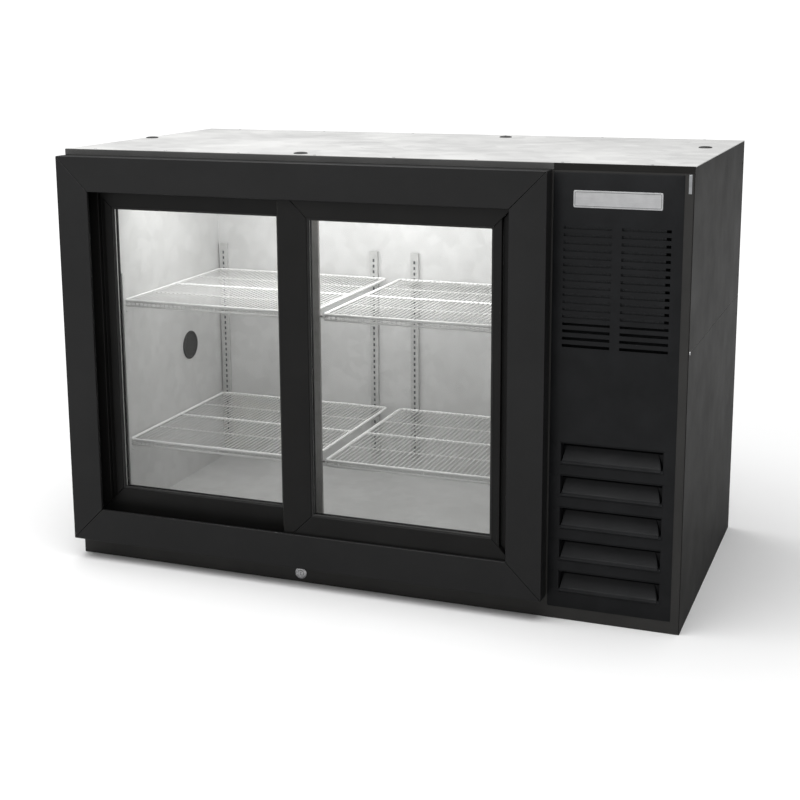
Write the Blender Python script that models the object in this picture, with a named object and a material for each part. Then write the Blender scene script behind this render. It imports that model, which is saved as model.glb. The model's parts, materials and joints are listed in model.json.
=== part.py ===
"""Under-counter back-bar refrigerator: two glass doors slide behind a black surround, beside a machine bay.

Metres, +Z up, the front faces -Y, and the origin is the middle of the footprint at floor level.
"""
import math

import bmesh
import bpy
from mathutils import Matrix, Vector

# ---------------------------------------------------------------- driving dimensions
CABINET_WIDTH = 1.219
CABINET_HEIGHT = 0.826
CABINET_DEPTH = 0.600          # behind the cabinet's front plane
MACHINE_BAY_WIDTH = 0.240
SHEET = 0.0012                 # outer steel panels
GAP = 0.0003                   # between pieces that touch
SHARP_ANGLE = 35               # degrees, above which an edge stays sharp
HANDLE_SIZE = 0.05

# Face frame and door surround
FRAME_EDGE = 0.015             # header height, and the stile beside the machine bay
KICK_HEIGHT = 0.041
HEADER_HEIGHT = 0.011
SURROUND_DEPTH = 0.036
SURROUND_FACE = 0.067
SURROUND_LIP = 0.007
SURROUND_LEG = 0.036
SURROUND_WALL = 0.003
SURROUND_BAY_GAP = 0.003
MITRE_SETBACK = GAP * 0.75     # off the end of each mitred bar; about one gap across the joint

# Doors and tracks
DOOR_THICKNESS = 0.026
DOOR_CLEARANCE = 0.001         # front door to the back of the surround's lip
DOOR_SPACING = 0.004           # between the two doors
DOOR_REAR_ROOM = 0.002         # behind the back door, where its guide hangs
DOOR_END_CLEARANCE = 0.002
DOOR_OVERLAP = 0.044
STILE_WIDTH = 0.058
PULL_WIDTH = 0.014             # finger pull, a groove that starts where the surround's lip ends
PULL_DEPTH = 0.010
GLASS_THICKNESS = 0.014
GLASS_BITE = 0.011             # how far the glass enters the frame
GLASS_FIT = 0.0006
BEAD_WIDTH = 0.004
BEAD_RECESS = 0.0015
SEAL_WIDTH = 0.012
SEAL_FIT = 0.0005
SEAL_END = 0.029               # the seal stops this far inside the door's top and bottom
TRACK_PLATE = 0.002
TRACK_RIB_HEIGHT = 0.007
TRACK_RIB_WIDTH = 0.002
TRACK_GUIDE_DROP = 0.0155
TRACK_GUIDE_THICKNESS = 0.0014
DOOR_LIFT_ROOM = 0.006         # above the door, below the surround's upper leg
DOOR_SILL_ROOM = 0.011         # below the door, above the surround's lower leg
ROLLER_RADIUS = 0.007
ROLLER_WIDTH = 0.006
ROLLER_AXLE = 0.0015
ROLLER_INSET = 0.075
ROLLER_ROOM = 0.0015

# Insulated compartment
LINER = 0.001
SIDE_WALL = 0.050
BULKHEAD_WALL = 0.059
BACK_WALL = 0.075
FLOOR_WALL = 0.062
CEILING_WALL = 0.055
NICHE_DEPTH = 0.150            # evaporator niche, sideways into the machine bay
NICHE_LENGTH = 0.300
NICHE_HEIGHT = 0.170
NICHE_FOAM = 0.033
NICHE_BACK_INSET = 0.060
NICHE_TOP_INSET = 0.004
LINE_PLUG_RADIUS = 0.0315
LINE_PLUG_NECK = 0.0268
LINE_PLUG_CROWN = 0.0296
LINE_PLUG_DEPTH = 0.020
LINE_PLUG_RIM = 0.003
LINE_PLUG_ROOM = 0.002
LINE_PLUG_HEIGHT = 0.361
LINE_PLUG_BACK_INSET = 0.150

# Shelving
SHELF_HEIGHTS = {"lower": 0.222, "upper": 0.515}
SHELF_FRONT_INSET = 0.062      # behind the liner's front edge
SHELF_WALL_GAP = 0.006
SHELF_BACK_GAP = 0.013
SHELF_MIDDLE_GAP = 0.026
SHELF_RIM = 0.006
SHELF_WIRE = 0.003
SHELF_WIRES = 13
SHELF_THICKNESS = 0.005
SHELF_RAIL_DROP = 0.020
SHELF_LINK = 0.004
SHELF_LINK_INSET = 0.0004
PILASTER_WIDTH = 0.018
PILASTER_THICKNESS = 0.008
PILASTER_SLOT_HEIGHT = 0.012
PILASTER_SLOT_WIDTH = 0.006
PILASTER_PITCH = 0.060
PILASTER_ABOVE_SHELF = 0.056   # wall pilasters rise this far above the highest shelf
PILASTER_FLOOR_GAP = 0.045
PILASTER_CENTRE_OFFSET = 0.048 # middle pair, each side of the compartment's shelf gap
CLIP_REACH = 0.016
CLIP_HEIGHT = 0.010
CLIP_WIDTH = 0.012
CLIP_WIDTH_SHARE = 0.8         # of the pilaster's width
CLIP_TONGUE_SHARE = 0.6        # of the pilaster's thickness
POST_GAP = 0.002               # behind the shelves' front rails

# Front grille
GRILLE_THICKNESS = 0.003
GRILLE_FIT = 0.001
GRILLE_MARGIN = 0.018
GRILLE_RIB = 0.017
GRILLE_BOTTOM = 0.023
SLOT_ROWS = 17
SLOT_PITCH = 0.0130
SLOT_HEIGHT = 0.0060
SLOT_FIELD_TOP = 0.091         # below the grille's upper edge
LOUVRE_COUNT = 5
LOUVRE_PITCH = 0.0600
LOUVRE_OPENING = 0.037
LOUVRE_DEPTH = 0.014
LOUVRE_LOWEST_LIP = 0.032      # above the grille's lower edge
LOUVRE_THROAT = 0.007
LOUVRE_INSET = 0.0003          # a scoop's edges stay this far inside the plate's faces
LOUVRE_CHEEK_RISE = 0.002
PLATE_WIDTH = 0.154
PLATE_HEIGHT = 0.030
PLATE_THICKNESS = 0.0015
PLATE_TOP = 0.029              # below the grille's upper edge
PLATE_CORNER = 0.003

# Lock
LOCK_HEIGHT = 0.0185
LOCK_FACE_RADIUS = 0.012
LOCK_FACE = 0.0025
LOCK_BODY_RADIUS = 0.0090
LOCK_BORE_RADIUS = 0.0060
LOCK_BODY_LENGTH = 0.016
LOCK_CAM_LENGTH = 0.015
LOCK_CAM_WIDTH = 0.007
LOCK_CAM_THICKNESS = 0.002
LOCK_FIT = 0.0004
LOCK_CAM_ROOM = 0.002
KEYWAY_WIDTH = 0.0016
KEYWAY_HEIGHT = 0.007
KEYWAY_DEPTH = 0.004

# Top panel's plug holes
TOP_HOLE_RADIUS = 0.011
TOP_HOLE_LEFT_INSET = 0.018
TOP_HOLE_RIGHT_INSET = 0.046
TOP_HOLE_FRONT_INSET = 0.039
TOP_HOLE_BACK_INSET = 0.063
TOP_HOLE_RIGHT_SETBACK = 0.091 # the right hole, behind the panel's middle

# Side and back panels
PANEL_RETURN = 0.015
PANEL_SEAM_HEIGHT = 0.5075
PANEL_SEAM = 0.0015
BASE_FLANGE = 0.025
VENT_RECESS = 0.018
VENT_SLOTS = 12
VENT_SLOT_HEIGHT = 0.008
VENT_MARGIN = 0.030
GLAND_RADIUS = 0.011
GLAND_NECK_RADIUS = 0.0077
GLAND_TIP_RADIUS = 0.0088
GLAND_TAIL = 0.0072
GLAND_HEIGHT = 0.060
GLAND_LENGTH = 0.015
GLAND_BORE = 0.0045

# Machine bay
BAY_CLEARANCE = 0.010
CONDENSER_SETBACK = 0.045
CONDENSER_THICKNESS = 0.038
CONDENSER_HEIGHT = 0.290
CONDENSER_BASE = 0.034
FIN_PITCH = 0.013
FIN_DEPTH = 0.006
CONDENSER_FAN_RADIUS = 0.082
CONDENSER_FAN_GAP = 0.018
FAN_DEPTH = 0.022
FAN_HUB_SHARE = 0.28           # of the fan's radius
BLADE_ROOT_SHARE = 0.7         # of the hub's radius
BLADE_CHORD_SHARE = 0.85       # of the room between blades
BLADE_THICKNESS = 0.0024
BLADE_END_ROOM = 0.001
MOTOR_RADIUS = 0.030
MOTOR_LENGTH = 0.045
MOTOR_GAP = 0.006
BRACKET_THICKNESS = 0.003
BRACKET_WIDTH = 0.020
PAN_GAP = 0.014
PAN_LENGTH = 0.060
PAN_HEIGHT = 0.028
PAN_WALL = 0.0015
COMPRESSOR_RADIUS = 0.072
COMPRESSOR_HEIGHT = 0.185
COMPRESSOR_BACK_INSET = 0.150
COMPRESSOR_FOOT = 0.012
COMPRESSOR_BASE_RADIUS = 0.065
COMPRESSOR_SKIRT = 0.012
COMPRESSOR_SHOULDER = 0.115    # height of its straight side
COMPRESSOR_PLATE = 0.156
COMPRESSOR_PLATE_RISE = 0.004
DOME_STEPS = 6

# Evaporator
COVER_THICKNESS = 0.0015
COVER_OVERLAP = 0.010
COVER_FAN_RADIUS = 0.058
EVAPORATOR_FAN_RADIUS = 0.052
EVAPORATOR_FAN_PLACE = 0.62    # share of the niche's length
EVAPORATOR_FAN_SETBACK = 0.010
EVAPORATOR_FAN_DEPTH = 0.018
EVAPORATOR_MOTOR_RADIUS = 0.022
EVAPORATOR_MOTOR_LENGTH = 0.034
EVAPORATOR_COIL_THICKNESS = 0.040
EVAPORATOR_COIL_GAP = 0.004
RETURN_SLOTS = 4
RETURN_SLOT_HEIGHT = 0.010
RETURN_SLOT_INSET = 0.015
KNOB_RADIUS = 0.016
KNOB_LENGTH = 0.014
KNOB_STEM_RADIUS = 0.003
KNOB_INSET = 0.030
KNOB_CROWN_RADIUS = 0.0136
KNOB_SKIRT = 0.002
KNOB_STEM_REACH = 0.006
POINTER_WIDTH = 0.002
POINTER_RISE = 0.001
POINTER_ROOT = 0.003
POINTER_SPAN = (0.0032, 0.0112)

# ---------------------------------------------------------------- planes worked out from them
LEFT = -CABINET_WIDTH / 2
RIGHT = CABINET_WIDTH / 2
SURROUND_FRONT = -(CABINET_DEPTH + SURROUND_DEPTH) / 2
FRONT = SURROUND_FRONT + SURROUND_DEPTH
BACK = FRONT + CABINET_DEPTH
TOP = CABINET_HEIGHT
UNDER_TOP = TOP - SHEET - GAP
BAY_LEFT = RIGHT - MACHINE_BAY_WIDTH

FRONT_DOOR_FACE = SURROUND_FRONT + SURROUND_LIP + DOOR_CLEARANCE
BACK_DOOR_FACE = FRONT_DOOR_FACE + DOOR_THICKNESS + DOOR_SPACING
BETWEEN_DOORS = BACK_DOOR_FACE - DOOR_SPACING / 2

FRAME_LEFT = LEFT + SHEET + GAP
FRAME_RIGHT = RIGHT - SHEET - GAP
FRAME_BACK = BACK_DOOR_FACE + DOOR_THICKNESS + DOOR_REAR_ROOM
FRAME_DEPTH = FRAME_BACK - FRONT
INSIDE_FRAME = FRAME_BACK + GAP
INSIDE_BACK = BACK - SHEET - GAP

SURROUND_LEFT = LEFT
SURROUND_RIGHT = BAY_LEFT - SURROUND_BAY_GAP
SURROUND_BOTTOM = KICK_HEIGHT
SURROUND_TOP = TOP - HEADER_HEIGHT
RUN_LEFT = SURROUND_LEFT + SURROUND_LEG + DOOR_END_CLEARANCE
RUN_RIGHT = SURROUND_RIGHT - SURROUND_LEG - DOOR_END_CLEARANCE
OPENING_BOTTOM = SURROUND_BOTTOM + SURROUND_LEG
OPENING_TOP = SURROUND_TOP - SURROUND_LEG
DOOR_BOTTOM = OPENING_BOTTOM + DOOR_SILL_ROOM
DOOR_TOP = OPENING_TOP - DOOR_LIFT_ROOM
DOOR_WIDTH = (RUN_RIGHT - RUN_LEFT + DOOR_OVERLAP) / 2
PULL_OFFSET = SURROUND_FACE - SURROUND_LEG - DOOR_END_CLEARANCE
RIB_TOP = OPENING_BOTTOM + GAP + TRACK_PLATE + TRACK_RIB_HEIGHT
ROLLER_HEIGHT = RIB_TOP + GAP + ROLLER_RADIUS

ROOM_LEFT = LEFT + SIDE_WALL
ROOM_RIGHT = BAY_LEFT - BULKHEAD_WALL
ROOM_BACK = BACK - BACK_WALL
ROOM_FLOOR = FLOOR_WALL
ROOM_CEILING = TOP - CEILING_WALL
ROOM_MIDDLE = (ROOM_LEFT + ROOM_RIGHT) / 2

NICHE_RIGHT = ROOM_RIGHT + NICHE_DEPTH
NICHE_BACK = ROOM_BACK - NICHE_BACK_INSET
NICHE_FRONT = NICHE_BACK - NICHE_LENGTH
NICHE_TOP = ROOM_CEILING - NICHE_TOP_INSET
NICHE_BOTTOM = NICHE_TOP - NICHE_HEIGHT

GRILLE_LEFT = BAY_LEFT + GRILLE_FIT
GRILLE_RIGHT = FRAME_RIGHT - FRAME_EDGE - GRILLE_FIT
GRILLE_TOP = TOP - FRAME_EDGE - GRILLE_FIT
GRILLE_LOW = GRILLE_BOTTOM + GRILLE_FIT

SHELF_FRONT = INSIDE_FRAME + SHELF_FRONT_INSET
SHELF_BACK = ROOM_BACK - SHELF_BACK_GAP
BAY_MIDDLE = (BAY_LEFT + FRAME_RIGHT) / 2
BAY_HALF = (FRAME_RIGHT - BAY_LEFT) / 2 - BAY_CLEARANCE


# ---------------------------------------------------------------- materials
def make_material(name, colour, roughness, metallic=0.0, transmission=0.0):
    """One Principled finish."""
    material = bpy.data.materials.new(name)
    material.use_nodes = True
    shader = material.node_tree.nodes["Principled BSDF"]
    shader.inputs["Base Color"].default_value = (*colour, 1.0)
    shader.inputs["Roughness"].default_value = roughness
    shader.inputs["Metallic"].default_value = metallic
    shader.inputs["Transmission Weight"].default_value = transmission
    return material


# ---------------------------------------------------------------- shapes
def spot(u, v, w, axis):
    """The point whose two in-plane coordinates are u and v, and w along the named axis."""
    if axis == "X":
        return Vector((w, u, v))
    if axis == "Y":
        return Vector((u, w, v))
    return Vector((u, v, w))


def make_object(name, bm, material):
    """A mesh object whose faces all point out."""
    bmesh.ops.recalc_face_normals(bm, faces=bm.faces)
    mesh = bpy.data.meshes.new(name)
    bm.to_mesh(mesh)
    bm.free()
    mesh.materials.append(material)
    thing = bpy.data.objects.new(name, mesh)
    bpy.context.scene.collection.objects.link(thing)
    return thing


def prism(name, outline, axis, low, high, material):
    """A closed outline in the plane across the axis, extruded from low to high along it."""
    bm = bmesh.new()
    rings = [[bm.verts.new(spot(u, v, w, axis)) for u, v in outline] for w in (low, high)]
    bm.faces.new(rings[0])
    bm.faces.new(rings[1])
    for index in range(len(outline)):
        after = (index + 1) % len(outline)
        bm.faces.new((rings[0][index], rings[0][after], rings[1][after], rings[1][index]))
    return make_object(name, bm, material)


def box(name, x_range, y_range, z_range, material):
    """A block between three pairs of planes."""
    (x0, x1), (y0, y1) = x_range, y_range
    return prism(name, [(x0, y0), (x1, y0), (x1, y1), (x0, y1)], "Z", z_range[0], z_range[1], material)


def circle(centre, radius, count, start=0.0):
    """Points round a circle, beginning at the start angle."""
    turns = [start + 2 * math.pi * index / count for index in range(count)]
    return [(centre[0] + radius * math.cos(turn), centre[1] + radius * math.sin(turn)) for turn in turns]


def rounded(x_range, y_range, radius, count=4):
    """A rectangle outline with quarter-round corners."""
    points = []
    corners = ((x_range[1], y_range[1]), (x_range[0], y_range[1]), (x_range[0], y_range[0]),
               (x_range[1], y_range[0]))
    for quarter, (x, y) in enumerate(corners):
        side_x = -1 if x == x_range[1] else 1
        side_y = -1 if y == y_range[1] else 1
        for step in range(count + 1):
            turn = math.pi / 2 * (quarter + step / count)
            across = x + side_x * radius + radius * math.cos(turn)
            up = y + side_y * radius + radius * math.sin(turn)
            points.append((across, up))
    return points


def cylinder(name, centre, axis, radius, low, high, material, count=32):
    """A round bar along an axis; centre holds its two in-plane coordinates."""
    thing = prism(name, circle(centre, radius, count), axis, low, high, material)
    smooth(thing)
    return thing


def smooth(thing):
    """Round sides shade smooth and keep sharp rims."""
    thing.data.shade_smooth()
    thing.data.set_sharp_from_angle(angle=math.radians(SHARP_ANGLE))


def turned(name, profile, centre, axis, material, count=32):
    """A (radius, along) profile turned about an axis; it is closed, or starts and ends on the axis."""
    bm = bmesh.new()
    rings = []
    for radius, along in profile:
        if radius == 0.0:
            rings.append([bm.verts.new(spot(centre[0], centre[1], along, axis))])
        else:
            rings.append([bm.verts.new(spot(u, v, along, axis)) for u, v in circle(centre, radius, count)])
    closed = profile[0][0] != 0.0
    for first, second in zip(rings, rings[1:] + rings[:1] if closed else rings[1:]):
        for index in range(count):
            after = (index + 1) % count
            if len(first) == 1:
                bm.faces.new((first[0], second[index], second[after]))
            elif len(second) == 1:
                bm.faces.new((first[index], second[0], first[after]))
            else:
                bm.faces.new((first[index], second[index], second[after], first[after]))
    thing = make_object(name, bm, material)
    smooth(thing)
    return thing


def lattice(name, us, vs, is_open, axis, low, high, material):
    """A plate divided at us and vs, without the cells that is_open names, extruded from low to high."""
    bm = bmesh.new()
    grid = {}

    def corner(i, j):
        if (i, j) not in grid:
            grid[i, j] = bm.verts.new(spot(us[i], vs[j], low, axis))
        return grid[i, j]

    for i in range(len(us) - 1):
        for j in range(len(vs) - 1):
            if not is_open(i, j):
                bm.faces.new((corner(i, j), corner(i + 1, j), corner(i + 1, j + 1), corner(i, j + 1)))
    back = bmesh.ops.extrude_face_region(bm, geom=list(bm.faces), use_keep_orig=True)
    moved = [item for item in back["geom"] if isinstance(item, bmesh.types.BMVert)]
    bmesh.ops.translate(bm, verts=moved, vec=spot(0, 0, high - low, axis))
    return make_object(name, bm, material)


def steps(start, end, widths):
    """Edges of strips of the given width, evenly spread from start to end, with both ends."""
    count, width = widths
    pitch = (end - start - width) / (count - 1)
    edges = []
    for index in range(count):
        edges += [start + pitch * index, start + pitch * index + width]
    return edges


def follow(child, parent):
    """The child moves with its parent and stays where it is now."""
    child.parent = parent
    child.matrix_parent_inverse = Matrix.Translation(-parent.location)


def tool_boolean(target, tool, operation):
    """A Boolean on the target whose tool is kept out of renders."""
    modifier = target.modifiers.new(operation.lower(), "BOOLEAN")
    modifier.operation = operation
    modifier.solver = "EXACT"
    modifier.object = tool
    tool.hide_render = True
    tool.display_type = "WIRE"
    follow(tool, target)


def cut(target, *tools):
    for tool in tools:
        tool_boolean(target, tool, "DIFFERENCE")


def unite(target, *tools):
    for tool in tools:
        tool_boolean(target, tool, "UNION")


def set_origin(thing, point):
    """Puts a piece's origin on its axis without moving its shape or its Boolean tools."""
    back = Matrix.Translation(-Vector(point))
    thing.data.transform(back)
    thing.location = point
    for tool in thing.children:
        tool.matrix_parent_inverse = back @ tool.matrix_parent_inverse


def make_handle(name, point, pieces):
    """An empty that carries the pieces of one moving assembly."""
    handle = bpy.data.objects.new(name, None)
    handle.empty_display_size = HANDLE_SIZE
    handle.location = point
    bpy.context.scene.collection.objects.link(handle)
    for piece in pieces:
        follow(piece, handle)
    return handle


# ---------------------------------------------------------------- frames with mitred corners
def mitred_frame(names, x_range, z_range, profiles, material):
    """Four bars round a rectangle, cut at 45 degrees: left, right, bottom and top.

    Each profile lists (u, y) points, u measured inwards from the rectangle's edge.
    """
    bars = []
    for side, name in enumerate(names):
        profile = profiles[side]
        upright = side < 2
        along = z_range if upright else x_range
        across = x_range if upright else z_range
        bm = bmesh.new()
        ends = []
        for end in (0, 1):
            ring = []
            for u, y in profile:
                place = across[0] + u if side % 2 == 0 else across[1] - u
                far = along[0] + u + MITRE_SETBACK if end == 0 else along[1] - u - MITRE_SETBACK
                ring.append(bm.verts.new((place, y, far) if upright else (far, y, place)))
            ends.append(ring)
        bm.faces.new(ends[0])
        bm.faces.new(ends[1])
        for index in range(len(profile)):
            after = (index + 1) % len(profile)
            bm.faces.new((ends[0][index], ends[0][after], ends[1][after], ends[1][index]))
        bars.append(make_object(name, bm, material))
    return bars


def build_surround(material):
    """The aluminium surround: a face lip over the doors, and two thin legs back to the cabinet."""
    lip = SURROUND_FRONT + SURROUND_LIP
    rear = FRONT - GAP
    inner = SURROUND_LEG - SURROUND_WALL
    profile = [
        (0, SURROUND_FRONT), (SURROUND_FACE, SURROUND_FRONT), (SURROUND_FACE, lip), (SURROUND_LEG, lip),
        (SURROUND_LEG, rear), (inner, rear), (inner, lip), (SURROUND_WALL, lip), (SURROUND_WALL, rear),
        (0, rear),
    ]
    names = ["surround_left", "surround_right", "surround_bottom", "surround_top"]
    return mitred_frame(names, (SURROUND_LEFT, SURROUND_RIGHT), (SURROUND_BOTTOM, SURROUND_TOP),
                        [profile] * 4, material)


# ---------------------------------------------------------------- doors
def door_profile(face, pull):
    """A door bar's section: a glass groove on its inner edge and, on the outer stile, a finger pull."""
    rear = face + DOOR_THICKNESS
    groove = (GLASS_THICKNESS + 2 * GLASS_FIT) / 2
    middle = face + DOOR_THICKNESS / 2
    bite = STILE_WIDTH - GLASS_BITE - GLASS_FIT
    section = [(0, face)]
    if pull:
        floor = face + PULL_DEPTH
        far = PULL_OFFSET + PULL_WIDTH
        section += [(PULL_OFFSET, face), (PULL_OFFSET, floor), (far, floor), (far, face)]
    section += [
        (STILE_WIDTH, face), (STILE_WIDTH, middle - groove), (bite, middle - groove),
        (bite, middle + groove), (STILE_WIDTH, middle + groove), (STILE_WIDTH, rear), (0, rear),
    ]
    return section


def build_door(prefix, x_range, face, pull_side, finishes):
    """One sliding door with its frame, glass, bead and rollers; its handle empty sits on the track."""
    middle = face + DOOR_THICKNESS / 2
    z_range = (DOOR_BOTTOM, DOOR_TOP)
    plain = door_profile(face, False)
    pulled = door_profile(face, True)
    profiles = [pulled if pull_side == "left" else plain, pulled if pull_side == "right" else plain, plain,
                plain]
    names = [f"{prefix}_{bar}" for bar in ("left_stile", "right_stile", "bottom_rail", "top_rail")]
    bars = mitred_frame(names, x_range, z_range, profiles, finishes["black"])

    inset = STILE_WIDTH - GLASS_BITE
    half = GLASS_THICKNESS / 2
    glass = box(f"{prefix}_glass", (x_range[0] + inset, x_range[1] - inset), (middle - half, middle + half),
                (z_range[0] + inset, z_range[1] - inset), finishes["glass"])

    outer = STILE_WIDTH + GAP
    inner = outer + BEAD_WIDTH
    bead = lattice(f"{prefix}_glazing_bead",
                   [x_range[0] + outer, x_range[0] + inner, x_range[1] - inner, x_range[1] - outer],
                   [z_range[0] + outer, z_range[0] + inner, z_range[1] - inner, z_range[1] - outer],
                   lambda i, j: i == 1 and j == 1, "Y", face + BEAD_RECESS, middle - half - GAP,
                   finishes["rubber"])

    pieces = bars + [glass, bead]
    for side, x in (("left", x_range[0] + ROLLER_INSET), ("right", x_range[1] - ROLLER_INSET)):
        room = ROLLER_RADIUS + ROLLER_ROOM
        cheek = ROLLER_WIDTH / 2 + ROLLER_ROOM / 2
        pocket = box(f"{prefix}_{side}_pocket", (x - room, x + room), (middle - cheek, middle + cheek),
                     (DOOR_BOTTOM - room, ROLLER_HEIGHT + room), finishes["black"])
        axle = cylinder(f"{prefix}_{side}_axle", (x, ROLLER_HEIGHT), "Y", ROLLER_AXLE,
                        middle - cheek - ROLLER_ROOM, middle + cheek + ROLLER_ROOM, finishes["black"], 12)
        cut(bars[2], pocket)
        unite(bars[2], axle)
        bore = ROLLER_AXLE + GAP
        wide = ROLLER_WIDTH / 2
        roller = turned(f"{prefix}_roller_{side}",
                        [(bore, middle - wide), (ROLLER_RADIUS, middle - wide),
                         (ROLLER_RADIUS, middle + wide),
                         (bore, middle + wide)], (x, ROLLER_HEIGHT), "Y", finishes["nylon"], 16)
        set_origin(roller, (x, middle, ROLLER_HEIGHT))
        pieces.append(roller)
    return pieces


def build_doors(finishes):
    """The back door closes the left half, the front door the right half, and they overlap in the middle."""
    front_range = (RUN_RIGHT - DOOR_WIDTH, RUN_RIGHT)
    back_range = (RUN_LEFT, RUN_LEFT + DOOR_WIDTH)
    front = build_door("front_door", front_range, FRONT_DOOR_FACE, "right", finishes)
    back = build_door("back_door", back_range, BACK_DOOR_FACE, "left", finishes)
    overlap = (front_range[0] + back_range[1]) / 2
    seal = box("door_meeting_seal", (overlap - SEAL_WIDTH / 2, overlap + SEAL_WIDTH / 2),
               (BETWEEN_DOORS - DOOR_SPACING / 2 + GAP, BETWEEN_DOORS + DOOR_SPACING / 2 - SEAL_FIT),
               (DOOR_BOTTOM + SEAL_END, DOOR_TOP - SEAL_END), finishes["rubber"])
    make_handle("front_door", ((front_range[0] + front_range[1]) / 2, FRONT_DOOR_FACE, ROLLER_HEIGHT),
                front + [seal])
    make_handle("back_door", ((back_range[0] + back_range[1]) / 2, BACK_DOOR_FACE, ROLLER_HEIGHT), back)


def build_tracks(material):
    """Two ribs below the doors carry their rollers; guides hang between and behind their top edges."""
    front = SURROUND_FRONT + SURROUND_LIP + GAP
    plate_low = OPENING_BOTTOM + GAP
    plate_top = plate_low + TRACK_PLATE
    outline = [(front, plate_low), (front, plate_top)]
    half = TRACK_RIB_WIDTH / 2
    for middle in (FRONT_DOOR_FACE + DOOR_THICKNESS / 2, BACK_DOOR_FACE + DOOR_THICKNESS / 2):
        outline += [(middle - half, plate_top), (middle - half, RIB_TOP), (middle + half, RIB_TOP),
                    (middle + half, plate_top)]
    outline += [(FRAME_BACK, plate_top), (FRAME_BACK, plate_low)]
    prism("lower_track", outline, "X", RUN_LEFT, RUN_RIGHT, material)

    ceiling = OPENING_TOP - GAP
    under = ceiling - TRACK_PLATE
    guide = TRACK_GUIDE_THICKNESS / 2
    drop = ceiling - TRACK_GUIDE_DROP - TRACK_PLATE
    behind = BACK_DOOR_FACE + DOOR_THICKNESS + SEAL_FIT
    outline = [(front, ceiling), (front, under), (BETWEEN_DOORS - guide, under),
               (BETWEEN_DOORS - guide, drop),
               (BETWEEN_DOORS + guide, drop), (BETWEEN_DOORS + guide, under), (behind, under), (behind, drop),
               (FRAME_BACK, drop), (FRAME_BACK, ceiling)]
    prism("upper_track", outline, "X", RUN_LEFT, RUN_RIGHT, material)


# ---------------------------------------------------------------- casing
def build_face_frame(material):
    """The black frame behind the surround, with the door opening, the grille opening and the lock hole."""
    xs = [FRAME_LEFT, RUN_LEFT - GAP, RUN_RIGHT + GAP, BAY_LEFT, FRAME_RIGHT - FRAME_EDGE, FRAME_RIGHT]
    zs = [0, GRILLE_BOTTOM, OPENING_BOTTOM, OPENING_TOP, TOP - FRAME_EDGE, UNDER_TOP]

    def is_open(i, j):
        doors = i == 1 and j == 2
        grille = i == 3 and 1 <= j <= 3
        return doors or grille

    frame = lattice("face_frame", xs, zs, is_open, "Y", FRONT, FRAME_BACK, material)
    bore = cylinder("lock_hole", (lock_x(), LOCK_HEIGHT), "Y", LOCK_BODY_RADIUS + GAP, FRONT - FRAME_DEPTH,
                    FRAME_BACK - LOCK_CAM_THICKNESS, material, 24)
    reach = LOCK_CAM_LENGTH + LOCK_FIT + LOCK_CAM_ROOM
    pocket = box("lock_pocket", (lock_x() - reach, lock_x() + reach),
                 (FRONT + LOCK_BODY_LENGTH, FRAME_BACK + FRAME_DEPTH),
                 (LOCK_HEIGHT - LOCK_BODY_RADIUS - 2 * LOCK_FIT, LOCK_HEIGHT + reach), material)
    cut(frame, bore, pocket)


def lock_x():
    """The lock stands under the overlap of the doors."""
    return (RUN_LEFT + RUN_RIGHT) / 2


def build_lock(finishes):
    """A turned barrel in the kick strip, and a plug with its cam."""
    centre = (lock_x(), LOCK_HEIGHT)
    face = FRONT - GAP
    tail = FRONT + LOCK_BODY_LENGTH
    turned("lock_barrel",
           [(LOCK_BORE_RADIUS, face - LOCK_FACE), (LOCK_FACE_RADIUS, face - LOCK_FACE),
            (LOCK_FACE_RADIUS, face),
            (LOCK_BODY_RADIUS, face), (LOCK_BODY_RADIUS, tail), (LOCK_BORE_RADIUS, tail)],
           centre, "Y", finishes["chrome"], 24)
    plug = cylinder("lock_plug", centre, "Y", LOCK_BORE_RADIUS - LOCK_FIT, face - LOCK_FACE,
                    tail + LOCK_FIT * 2,
                    finishes["chrome"], 24)
    cam_front = tail + LOCK_FIT
    cam = box("lock_cam", (centre[0] - LOCK_CAM_WIDTH / 2, centre[0] + LOCK_CAM_LENGTH),
              (cam_front, cam_front + LOCK_CAM_THICKNESS),
              (centre[1] - LOCK_CAM_WIDTH / 2, centre[1] + LOCK_CAM_WIDTH / 2), finishes["chrome"])
    keyway = box("lock_keyway", (centre[0] - KEYWAY_WIDTH / 2, centre[0] + KEYWAY_WIDTH / 2),
                 (face - LOCK_FACE - KEYWAY_DEPTH, face - LOCK_FACE + KEYWAY_DEPTH),
                 (centre[1] - KEYWAY_HEIGHT / 2, centre[1] + KEYWAY_HEIGHT / 2), finishes["chrome"])
    unite(plug, cam)
    cut(plug, keyway)
    set_origin(plug, (centre[0], FRONT, centre[1]))


def build_top_panel(material):
    """A galvanised sheet with four plug holes, one near each edge."""
    top = box("top_panel", (LEFT, RIGHT), (FRONT, BACK), (TOP - SHEET, TOP), material)
    middle = (FRONT + BACK) / 2
    spots = [(LEFT + TOP_HOLE_LEFT_INSET, middle),
             (RIGHT - TOP_HOLE_RIGHT_INSET, middle + TOP_HOLE_RIGHT_SETBACK),
             (ROOM_MIDDLE, FRONT + TOP_HOLE_FRONT_INSET),
             ((ROOM_MIDDLE + BAY_LEFT) / 2, BACK - TOP_HOLE_BACK_INSET)]
    for index, centre in enumerate(spots):
        hole = cylinder(f"top_hole_{index}", centre, "Z", TOP_HOLE_RADIUS, TOP - 2 * SHEET, TOP + SHEET,
                        material, 24)
        cut(top, hole)


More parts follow.
